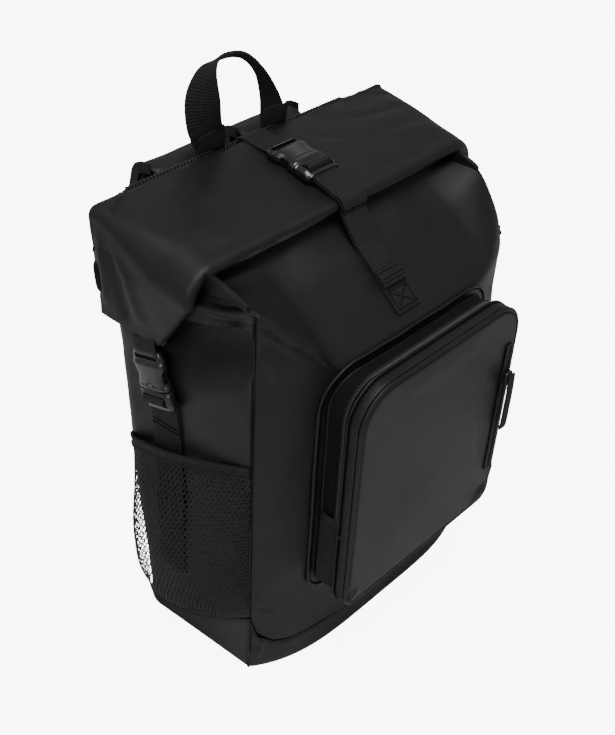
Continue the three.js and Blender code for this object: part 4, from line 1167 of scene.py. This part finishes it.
def side_net(side, name):
    ends = net_threads()
    a, b = (net_point(side, *ends[:, k].T, 0.55) for k in (0, 1))
    for end in (a, b):
        end[:, 0] += side * 0.8 * unevenness(end, 36, 61)
    along = unit(b - a)
    flat = unit(np.cross(along, (side, 0, 0)))
    high = np.cross(flat, along)
    upright = np.abs(ends[:, 0, 0] - ends[:, 1, 0]) < 1e-4
    wide = np.where(upright, net.doubled, net.thread)[:, None]
    corners = [flat * wide + high * 0.05, high * 0.3, -flat * wide + high * 0.05, -high * 0.25]
    points = np.stack([end + c for end in (a - along * 0.2, b + along * 0.2) for c in corners], 1)
    first = np.arange(len(a))[:, None] * 8
    quads = [[0, 1, 5, 4], [1, 2, 6, 5], [2, 3, 7, 6], [3, 0, 4, 7], [3, 2, 1, 0], [4, 5, 6, 7]]
    faces = np.concatenate([first + np.array(q) for q in quads])
    dress(mesh_object("side_net_" + name, points, faces, None, NETTING), "net_pocket_" + name)
    share = np.linspace(0, 1, 150)
    rings = np.stack([net_point(side, share, 1.0, stand) + (0, 0, up) for up, stand in HEM], 1)
    rings[..., 0] += side * 0.1 * np.sin(share * 95)[:, None]
    dress(loft("net_hem_band_" + name, rings[::side], WEBBING), "net_hem_" + name)


for side, name in SIDES:
    side_net(side, name)

# %% [markdown]
# Webbing holds the roll down. It is woven flat tape with ribs across, so it is swept along a smooth spine
# that is read from a few places on the bag. The top strap comes from the back, passes the buckle and goes
# over the nose of the roll to an anchor sewn on the slope. Its free end lies on top, folded and stitched.
# Each row of its tables is y, the y at which the roll's height is read, and the height above it.

# %% The top strap
tape = Sizes(width=25, thickness=1.8, x=4)
buckle = Sizes(female=32, male=16, y=42)
MOUTH_EDGE = roll.nose_y + bag.mouth_inset
CLIMB = roll_under_z(MOUTH_EDGE) - GAP - bag.slope_start
TILT = math.atan2(CLIMB, MOUTH_EDGE - front_face(0))


def on_slope(y, lift=0.0, off=0.0, aside=0.0):
    """A place over the slope: lift is measured square to it, off forward and up, and aside along x."""
    share = (y - front_face(0)) / (MOUTH_EDGE - front_face(0))
    z = bag.slope_start + CLIMB * share + (1.2 + lift) / math.cos(TILT)
    return np.array([tape.x + aside, y - 0.5 * off, z + 0.9 * off])


def on_roll(*rows):
    return [(tape.x, y, roll_top_z(read) + lift) for y, read, lift in rows]


def strap_band(name, places, thickness, *replaced):
    band(name, spline(places, 0.55), SIDE_ON, tape.width, thickness, *replaced)


def tape_stitches(name, line, facing):
    """The finer stitches that go through webbing."""
    stitches(name, line, facing, length=1.8, pitch=2.5, radius=0.42, slot="webbing")


def top_strap():
    nose, back, front = roll.nose_y, buckle.y + buckle.female, buckle.y - buckle.male
    stub = on_roll((93, 93, 1.9), (back + 4, back, 2.6), (back - 2.6, back, 3.6))
    stub = [(tape.x, 109.5, 389.2), (tape.x, BACK_TOP - 1, 392.7), *stub]
    strap_band("top_stub_webbing", stub, tape.thickness, "top_stub")
    over = on_roll((nose - 2.1, nose, -9), (nose - 2.6, nose, -4), (nose + 1, nose, 1.2),
                   (nose + 8, nose + 8, 1.5), (front - 6, front, 2.2), (front + 3, front, 3.4))
    lower = [on_slope(-67), on_slope(-52), on_slope(-36), on_slope(-20, 0.4), *over]
    strap_band("anchor_strap_webbing", lower, tape.thickness, "anchor_strap")
    over = on_roll((nose - 4.4, nose, -8.4), (nose - 5, nose, -3), (nose - 0.5, nose, 3.5),
                   (nose + 8, nose + 8, 3.7), (front - 6, front, 4.4), (front + 3, front, 6.2))
    tail = [on_slope(y, 0, off) for y, off in ((-50, 2.2), (-42, 2.2), (-30, 2.4), (-20, 2.6))]
    strap_band("free_strap_webbing", [*tail, *over], tape.thickness, "free_strap")
    strap_band("free_end_hem", [on_slope(y, 0, off) for y, off in ((-50, 4.0), (-45, 4.1), (-39, 4.0))], 1.7)
    facing = (0, -math.sin(TILT), math.cos(TILT))
    for k, y in enumerate((-47.6, -45.4, -41)):
        tape_stitches(f"hem_stitches_{k}", [on_slope(y, 0, 5.0, x) for x in (-10.5, 0, 10.5)], facing)
    crossed_box = [(-10, -65), (10, -65), (10, -53), (-10, -53), (-10, -65), (10, -53)]
    tape_stitches("anchor_stitches", [on_slope(y, 1.0, 0, x) for x, y in crossed_box], facing)
    cross = [(-10, -53), (10, -65)]
    tape_stitches("anchor_stitches_cross", [on_slope(y, 1.0, 0, x) for x, y in cross], facing)


top_strap()

# %% [markdown]
# The side straps run up the panels from inside the net pockets and loop over the lower bar of each buckle.
# A short stub joins the clip to the end of the roll.

# %% Side straps


side_tape = Sizes(y=34, width=29)
side_clip = Sizes(x=156.6, y=38, z=264, lean=18)


def side_straps(side, name):
    def on_side(y, z, lift=1.2):
        return np.array([side * (side_half(y, z) + lift), y, z])

    y = side_tape.y
    rows = [(y, 70, 1.2), (y, 120, 1.2), (y, 180, 1.2), (y, 232, 1.4), (y + 0.5, 250, 2.2), (y + 1, 257, 3.4)]
    across = on_side(y + 15, 160) - on_side(y - 15, 160)
    spine = spline([on_side(*row) for row in rows], 0.55)
    band("side_strap_" + name, spine, across, side_tape.width, tape.thickness, "side_webbing_" + name)
    rows = [(y + 1, 256.5, 3.6), (y + 0.5, 247, 3.9), (y, 236, 3.3), (y - 0.2, 222, 2.9)]
    band("side_strap_fold_" + name, spline([on_side(*row) for row in rows], 0.55), across, 28.4, 1.6)
    for k, z in enumerate((226, 230)):
        row = [on_side(y + along, z, 4.1) for along in (-12, 0, 12)]
        tape_stitches(f"side_stitches_{name}_{k}", row, (side, 0, 0))
    lean = math.radians(side_clip.lean)
    tilt = np.array([0, math.sin(lean), math.cos(lean)])
    start = np.array([side * side_clip.x, side_clip.y, side_clip.z]) + tilt * 28.5
    stub = [start + tilt * up - (side * sunk, 0, 0) for up, sunk in ((-3, 0), (2, 0), (7, 0.5), (13.6, 1))]
    across = (0, math.cos(lean), -math.sin(lean))
    band("ear_stub_" + name, spline(stub, 0.55), across, tape.width, tape.thickness, "ear_webbing_" + name)


for side, name in SIDES:
    side_straps(side, name)

# %% [markdown]
# The carrying loop is a wide webbing that twists as it rises, so its legs show their face and its top its
# edge. Each row of the table is a place on the loop as shares of its half span and its rise, then the turn
# of the webbing and its lean in degrees, and how much of its width is left where it curls in.

# %% Carrying loop
HANDLE_PATH = [(-1, 0, 0, 0, 1), (-1, 0.06, 4, 0, 1), (-1.18, 0.3, 25, 0, 1), (-1.2, 0.56, 45, 10, 0.92),
               (-1.04, 0.78, 60, 28, 0.56), (-0.66, 0.87, 75, 45, 0.28), (-0.02, 0.82, 70, 40, 0.24),
               (0.5, 0.62, 50, 20, 0.3), (0.84, 0.34, 20, 5, 0.56), (1, 0.06, 4, 0, 0.95), (1, 0, 0, 0, 1)]
handle = Sizes(half_span=34, rise=82, width=28, thickness=2.4)
pad = Sizes(half=130, bottom=46, top=388, thickness=9.5)


def carrying_loop():
    y = back_face(pad.top) + GAP + pad.thickness * 0.55
    rows = [(x * handle.half_span, y, pad.top + 0.6 + z * handle.rise, *more) for x, z, *more in HANDLE_PATH]
    run = spline(rows, 0.55)
    turn, lean = np.radians(run[:, 3]), np.radians(run[:, 4])
    across = np.stack([np.cos(turn), -np.sin(turn) * np.cos(lean), np.sin(turn) * np.sin(lean)], 1)
    width = handle.width * run[:, 5]
    band("carrying_loop_webbing", run[:, :3], across, width, handle.thickness, "grab_handle", ribs=0.1)
    for side, name in SIDES:
        x = side * handle.half_span
        patch = spline([(x, y - 1.6, 390), (x, y - 2.4, 398), (x * 1.03, y - 2.6, 406)], 0.55)
        band("loop_patch_" + name, patch, SIDE_ON, handle.width - 1, 1.5)


carrying_loop()

# %% [markdown]
# The buckles are the only bright things on the bag. A side-release clip has a crowned body with a narrow
# waist, a socket, a window in each side where the prongs spring out, and a slot for the webbing. Each half
# is lofted from rounded sections and then cut with boolean boxes, as a mould would leave it, and a small
# bevel catches the light on every edge.

# %% Buckles


def applied(piece):
    """Gives a piece the mesh that its modifiers make."""
    bpy.context.view_layer.update()
    shown = piece.evaluated_get(bpy.context.evaluated_depsgraph_get())
    piece.data = bpy.data.meshes.new_from_object(shown)
    piece.modifiers.clear()
    return piece.data


def carved(piece, boxes, bevel=0.35):
    """Cuts boxes of (x0, x1, y0, y1, z0, z1) out of a piece and rounds what is left."""
    tools = []
    for x0, x1, y0, y1, z0, z1 in boxes:
        corners = [(x, y, z) for z in (z0, z1) for y in (y0, y1) for x in (x0, x1)]
        quads = [[0, 2, 3, 1], [4, 5, 7, 6], [0, 1, 5, 4], [2, 6, 7, 3], [0, 4, 6, 2], [1, 3, 7, 5]]
        tool = mesh_object("cutter", corners, quads, None, PLASTIC)
        tool.hide_render = True
        tools.append(tool)
        cut = piece.modifiers.new("cut", "BOOLEAN")
        cut.operation, cut.solver, cut.object = "DIFFERENCE", "EXACT", tool
    rounding = piece.modifiers.new("round", "BEVEL")
    rounding.width, rounding.segments, rounding.limit_method = bevel * MM, 2, "ANGLE"
    rounding.angle_limit = math.radians(38)
    mesh = applied(piece)
    mesh.polygons.foreach_set("use_smooth", [True] * len(mesh.polygons))
    mesh.set_sharp_from_angle(angle=math.radians(50))
    for tool in tools:
        bpy.data.objects.remove(tool)
    return piece


def lozenge(half, low, high, crown):
    """A closed section in x and z: flat below, rounded edges, and a crowned top."""
    r = 2.2
    t = np.linspace(-1, 1, 11)
    top = [(half * s * 0.97, high - crown * s * s - (r * 0.6 if abs(s) > 0.99 else 0)) for s in t]
    bottom = [(half * s * 0.97, low + (0.8 if abs(s) > 0.99 else 0)) for s in t[::-1]]
    right = [(half, high - crown - r), (half, low + r)]
    left = [(-half, low + r), (-half, high - crown - r)]
    return np.array(top + right + bottom + left)


CLIP_HALF = 17


def clip_body(name):
    rows = []
    for y in np.linspace(0, buckle.female, 41):
        waist = 2.6 * hill(y, 11.5, 8.5)
        shoulder = 2.5 * smooth(24, 32, y) ** 1.5
        corner = 1.2 * (1 - smooth(0, 1.2, y)) + 2.4 * smooth(30.4, 32, y)
        half = CLIP_HALF - waist - shoulder - corner
        high = 9.0 - 0.5 * (1 - smooth(0, 1.5, y)) - 2.6 * smooth(20.5, 25, y) - 1.2 * smooth(30, 32, y)
        high += 0.35 * hill(y, 2.6, 1.6) - 0.3 * hill(y, 5.2, 1.4)
        crown = 1.1 * (1 - smooth(20, 25, y)) + 0.2
        rows.append(at_depth(lozenge(half, 0.6 * smooth(30.5, 32, y), high, crown), y))
    socket, window = (-13.2, 13.2, -1, 20, 2.1, 6.9), (-20, 20, 6.6, 15.4, 2.6, 6.4)
    slot = (-13, 13, 25, 28.6, -2, 12)
    return carved(loft(name, np.stack(rows), PLASTIC, sharp=50), [socket, window, slot])


def clip_tail(name):
    rows = []
    for y in np.linspace(-buckle.male, -0.3, 27):
        half = CLIP_HALF - 1.6 * (1 - smooth(-16, -13.6, y)) - 0.8 * smooth(-1.4, -0.3, y)
        high = 8.6 - 2.0 * (1 - smooth(-16, -9, y)) - 1.0 * hill(y, -1.6, 1.4)
        rows.append(at_depth(lozenge(half, 0.2, high, 0.5), y))
    slots = [(-13, 13, -6.8, -3.6, -2, 12), (-13, 13, -13.2, -9.9, -2, 12)]
    frame_part = carved(loft(name, np.stack(rows), PLASTIC, sharp=50), slots)
    arms = []
    for side in (-1, 1):
        rings = []
        for x, y, width in [(11.2, -1.5, 2.6), (11.4, 4, 2.4), (11.8, 9, 3.2), (12.2, 14, 4.2),
                            (10.4, 17.6, 1.4)]:
            section = rounded_box(side * x - width / 2, side * x + width / 2, 2.9, 6.2, 0.6)
            rings.append(at_depth(np.array(section), y))
        arms.append(loft(f"{name}_arm", np.array(rings), PLASTIC))
    section = np.array(rounded_box(-2.2, 2.2, 3, 6, 0.6))
    arms.append(loft(f"{name}_guide", np.array([at_depth(section, y) for y in (-1.5, 8, 15.5, 17)]), PLASTIC))
    with bpy.context.temp_override(active_object=frame_part, selected_editable_objects=[frame_part, *arms]):
        bpy.ops.object.join()
    return frame_part


def placed(piece, matrix):
    """Moves a piece that was made at the origin to its place on the bag, in its own points."""
    piece.data.transform(matrix)
    return piece


def at_mm(x, y, z):
    return Matrix.Translation((x * MM, y * MM, z * MM))


def bar_wrap(name, place):
    """Webbing that comes up through a clip's slots, over the bar between them."""
    rows = [(0, -17.5, 1.6), (0, -12.6, 2.2), (0, -11.2, 6.5), (0, -10.2, 9.6), (0, -8.3, 10.2),
            (0, -6.4, 9.6), (0, -5.3, 6.5), (0, -4.6, 3.0)]
    placed(band(name, spline(rows, 0.5), SIDE_ON, 24.4, 1.7), place)


def clip_button(name):
    """A round dished button in a ring, on the face of a side clip."""
    turn = np.linspace(0, 2 * math.pi, 40, endpoint=False)
    dish = [(4.6, 8.0), (4.6, 8.9), (4.2, 9.3), (3.7, 9.2), (3.4, 8.5), (3.0, 8.5), (2.8, 9.2), (2.4, 9.5),
            (1.2, 9.3), (0.1, 9.2)]
    rings = [columns(r * np.cos(turn), 3.8 + r * np.sin(turn), z) for r, z in dish]
    return loft(name, np.array(rings)[:, ::-1], PLASTIC)


def clip(kind, name, place):
    """Both halves of a fastened clip, with the webbing round its bar. The side clips have a button too."""
    solid = kind + "_buckle_{}" + name
    dress(placed(clip_body(f"{kind}_clip_body{name}"), place), solid.format("female"))
    dress(placed(clip_tail(f"{kind}_clip_tail{name}"), place), solid.format("male"))
    if kind == "side":
        dress(placed(clip_button("side_clip_button" + name), place))
    bar_wrap(f"{kind}_clip_wrap{name}", place)


top_tilt = math.atan2(roll_top_z(74) - roll_top_z(26), 48)
clip("top", "", at_mm(tape.x, buckle.y, roll_top_z(buckle.y) + GAP + 1) @ Matrix.Rotation(top_tilt, 4, "X"))
for side, name in SIDES:
    lean = Matrix.Rotation(side * math.radians(90 - side_clip.lean), 4, "Z")
    turned = Matrix.Rotation(side * math.pi / 2, 4, "Y") @ lean
    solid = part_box("side_buckle_female_" + name)
    inner_x = side * min(side * corner[0] for corner in solid[:2])
    clip("side", "_" + name, at_mm(inner_x / MM, side_clip.y, side_clip.z) @ turned)

# %% [markdown]
# The parts that rest on the wearer are padded: a back pad under spacer mesh and two shoulder straps. Foam
# under cloth is what Blender's cloth simulation does well. Each plain solid is copied, drawn a little
# smaller, remeshed to an even net of cells and blown up softly for a few frames, so its flats swell and its
# edges pull in. No point may move further than the cap.

# %% Padded pieces


FRAMES = 20
SINK_SHARE = 0.55


def read_points(points, label="co"):
    values = np.zeros(len(points) * 3)
    points.foreach_get(label, values)
    return values.reshape(-1, 3)


def copied(name, node_name, material):
    """A loose copy of a plain solid with a finish of its own."""
    piece = bpy.data.objects.new(name, frame["nodes"][node_name].data.copy())
    bpy.context.scene.collection.objects.link(piece)
    piece.data.materials.clear()
    piece.data.materials.append(material)
    return piece


def blown(piece):
    """The points of a piece after a few frames as a cushion of cloth."""
    cloth = piece.modifiers.new("foam", "CLOTH")
    cloth.settings.use_pressure, cloth.settings.uniform_pressure_force = True, 4.0
    cloth.settings.effector_weights.gravity = 0
    cloth.settings.quality, cloth.settings.mass = 5, 0.3
    cloth.settings.tension_stiffness = cloth.settings.compression_stiffness = 25
    cloth.collision_settings.use_collision = False
    cloth.point_cache.frame_start, cloth.point_cache.frame_end = 1, FRAMES
    for step in range(1, FRAMES + 1):
        bpy.context.scene.frame_set(step)
    points = read_points(piece.evaluated_get(bpy.context.evaluated_depsgraph_get()).to_mesh().vertices)
    piece.modifiers.clear()
    bpy.context.scene.frame_set(1)
    return points


def stuffed(name, node_name, material, cap, shrink=0.0, sink=None):
    """A padded copy of a solid: remeshed, blown up by a cloth simulation and smoothed once. What stands
    above sink, a height in millimetres, is pressed down by about half."""
    piece = copied(name, node_name, material)
    remesh = piece.modifiers.new("cells", "REMESH")
    remesh.mode, remesh.voxel_size, remesh.use_smooth_shade = "VOXEL", 4.5 * MM, True
    fine = applied(piece)
    start = read_points(fine.vertices) - read_points(fine.vertices, "normal") * shrink * MM
    fine.vertices.foreach_set("co", start.ravel())
    moved = blown(piece)
    if sink:
        for points in (moved, start):
            points[:, 2] -= SINK_SHARE * np.maximum(points[:, 2] - sink * MM, 0)
    shift = moved - start
    far = np.linalg.norm(shift, axis=1, keepdims=True)
    shift *= np.minimum(1, cap * MM / np.maximum(far, 1e-9))
    fine.vertices.foreach_set("co", (start + shift).ravel())
    finer = piece.modifiers.new("smooth", "SUBSURF")
    finer.levels = finer.render_levels = 1
    mesh = applied(piece)
    corners = np.zeros(len(mesh.loops), int)
    mesh.loops.foreach_get("vertex_index", corners)
    if not mesh.uv_layers:
        mesh.uv_layers.new(name="cloth")
    mesh.uv_layers[0].data.foreach_set("uv", read_points(mesh.vertices)[corners][:, [0, 2]].ravel())
    mesh.polygons.foreach_set("use_smooth", [True] * len(mesh.polygons))
    mesh.materials.clear()
    mesh.materials.append(material)
    print(name, "moved up to", round(float(np.linalg.norm(shift, axis=1).max()) / MM, 2), "mm")
    dress(piece, node_name)
    return piece


STRAP_SINK = 376
back_pad = stuffed("back_pad", "back_panel", AIR_MESH, cap=1.4)
for _, name in SIDES:
    stuffed("shoulder_pad_" + name, "shoulder_strap_" + name, COATED, cap=1.6, shrink=0.4, sink=STRAP_SINK)

# %% [markdown]
# Spacer mesh shows as rows of raised knots along the top of the back pad. They lean left and right in turn,
# so the band looks like a zigzag. A strip of webbing binds the edge of each shoulder strap and carries the
# adjuster, a small ladder of plastic.

# %% Knots, bindings and adjusters


KNOT_TURN = 0.6


def knots(under):
    """Raised knots, each dropped onto the top of the pad."""
    rows = []
    for k, y in enumerate(back_face(pad.top) + np.linspace(1.2, 9.5, 4)):
        for x in np.arange(-126, 126, 3.4) + (k % 2) * 1.7:
            hit, place, _, _ = under.ray_cast((x * MM, y * MM, 0.5), (0, 0, -1))
            if hit and place.z / MM > pad.top - 6:
                rows.append((x, y, place.z / MM + 0.1, 1 if k % 2 else -1))
    rows = np.array(rows)
    flat = math.cos(KNOT_TURN), math.sin(KNOT_TURN)
    along = columns(flat[0], rows[:, 3] * flat[1], 0)
    side = columns(-rows[:, 3] * flat[1], flat[0], 0)
    profile = [(-1.3, 0.3), (-0.8, 0.62), (0.8, 0.62), (1.3, 0.3)]
    points, faces = capsules(rows[:, :3], along, side, 0 * side + (0, 0, 1), profile)
    dress(mesh_object("mesh_knots", points, faces, None, KNOT), slot="air_mesh")


knots(back_pad)
STRAP_PATH = [(0.1, 0, 0), (0.03, 0, 0), (0, 0.2, 0.01), (0.012, 0.53, 0.03), (0.06, 0.73, 0.08),
              (0.25, 0.9, 0.3), (0.5, 1, 0.55), (0.75, 0.87, 0.8), (1, 0.5, 1)]
ladder = Sizes(half=13, gap=0.6)
tab = Sizes(z=28, half=13, thickness=3, inset=15)
strap = Sizes(width=72, end=50, thickness=10, top_x=45, end_x=82, top_z=391, end_z=140, stand=30, taper=0.3)


def pad_face(z):
    return back_face(z) + GAP + pad.thickness


def strap_place(side, fall, stand, out):
    z = mix(strap.top_z, strap.end_z, fall)
    y = pad_face(min(z, pad.top)) + GAP + strap.thickness / 2 + stand * strap.stand
    return np.array([side * mix(strap.top_x, strap.end_x, out), y, z])


def softened(name, node_name, material, bevel):
    """A hard solid's own mesh with rounded edges."""
    piece = copied(name, node_name, material)
    weld = piece.modifiers.new("weld", "WELD")
    weld.merge_threshold = 0.00001
    dress(carved(piece, [], bevel), node_name)


def strap_ends(side, name):
    places = [strap_place(side, *row) for row in STRAP_PATH]
    down = unit(places[-1] - places[-2])
    for edge, label in ((-1, "inner"), (1, "outer")):
        rows = []
        for (fall, _, _), at in zip(STRAP_PATH[2:], places[2:]):
            width = mix(strap.width, strap.end, max(0, fall - strap.taper) / (1 - strap.taper))
            rows.append(at + np.array([edge * side * (width / 2 - 0.4), 0, 0]))
        run = spline(rows, 1.1)
        run[:, 2] -= SINK_SHARE * np.maximum(run[:, 2] - STRAP_SINK, 0)
        across = unit(np.cross(np.gradient(run, axis=0), SIDE_ON))
        band(f"strap_binding_{label}_{name}", run, across, 8.5, 1.6, rib=2.2)
    start = places[-1] + down * (2 * ladder.half + ladder.gap + tape.thickness)
    tab_x = side * (pad.half - tab.inset)
    face = GAP + tape.thickness
    knee = np.array([tab_x, pad_face(pad.bottom) + face, pad.bottom - tape.thickness / 2])
    top = tab.z + tab.half
    on_tab = GAP * 2 + tab.thickness
    rows = [start - down * 1.4, start + down * 5.4, mix(start, knee, 0.7), knee,
            (tab_x, back_face(top) + on_tab + 2.7, (knee[2] + top - tape.thickness) / 2),
            (tab_x, back_face(tab.z) + on_tab + tape.thickness / 2, tab.z)]
    webbing = "strap_webbing_" + name
    band("strap_tail_" + name, spline(rows, 0.7), SIDE_ON, tape.width, tape.thickness, webbing)
    rows = [(tab_x, back_face(z) + GAP + tab.thickness / 2, z) for z in (top, tab.z, tab.z - tab.half)]
    size = 2 * tab.half, tab.thickness
    band("strap_tab_patch_" + name, spline(rows, 0.7), SIDE_ON, *size, "strap_tab_" + name, ribs=0.15)
    softened("strap_ladder_" + name, "strap_adjuster_" + name, PLASTIC, 0.8)


for side, name in SIDES:
    strap_ends(side, name)
for name in ("pocket_slider", "slip_slider"):
    softened(name + "_body", name, PAINTED, 0.9)

# %% [markdown]
# The floor is the last piece. It isn't part of the bag, and it is kept plain and pale. A picture taken on a
# light table has a floor that is brighter than anything it lights, so the paper glows, but only for rays
# that come straight from the camera: the black cloth isn't lit from below.

# %% Floor
bpy.ops.mesh.primitive_plane_add(size=40, location=(0, 0, -0.0002))
floor = bpy.context.object
floor.name = "floor"
paper = bpy.data.materials.new("paper")
paper.use_nodes = True
look = paper.node_tree.nodes["Principled BSDF"].inputs
look["Base Color"].default_value = (0.62, 0.62, 0.62, 1)
look["Roughness"].default_value = 0.9
look["Emission Color"].default_value = (1, 1, 1, 1)
seen = node(paper.node_tree, "ShaderNodeLightPath").outputs["Is Camera Ray"]
feed(paper.node_tree, look["Emission Strength"], calc(paper.node_tree, "MULTIPLY", seen, 8.0))
floor.data.materials.append(paper)
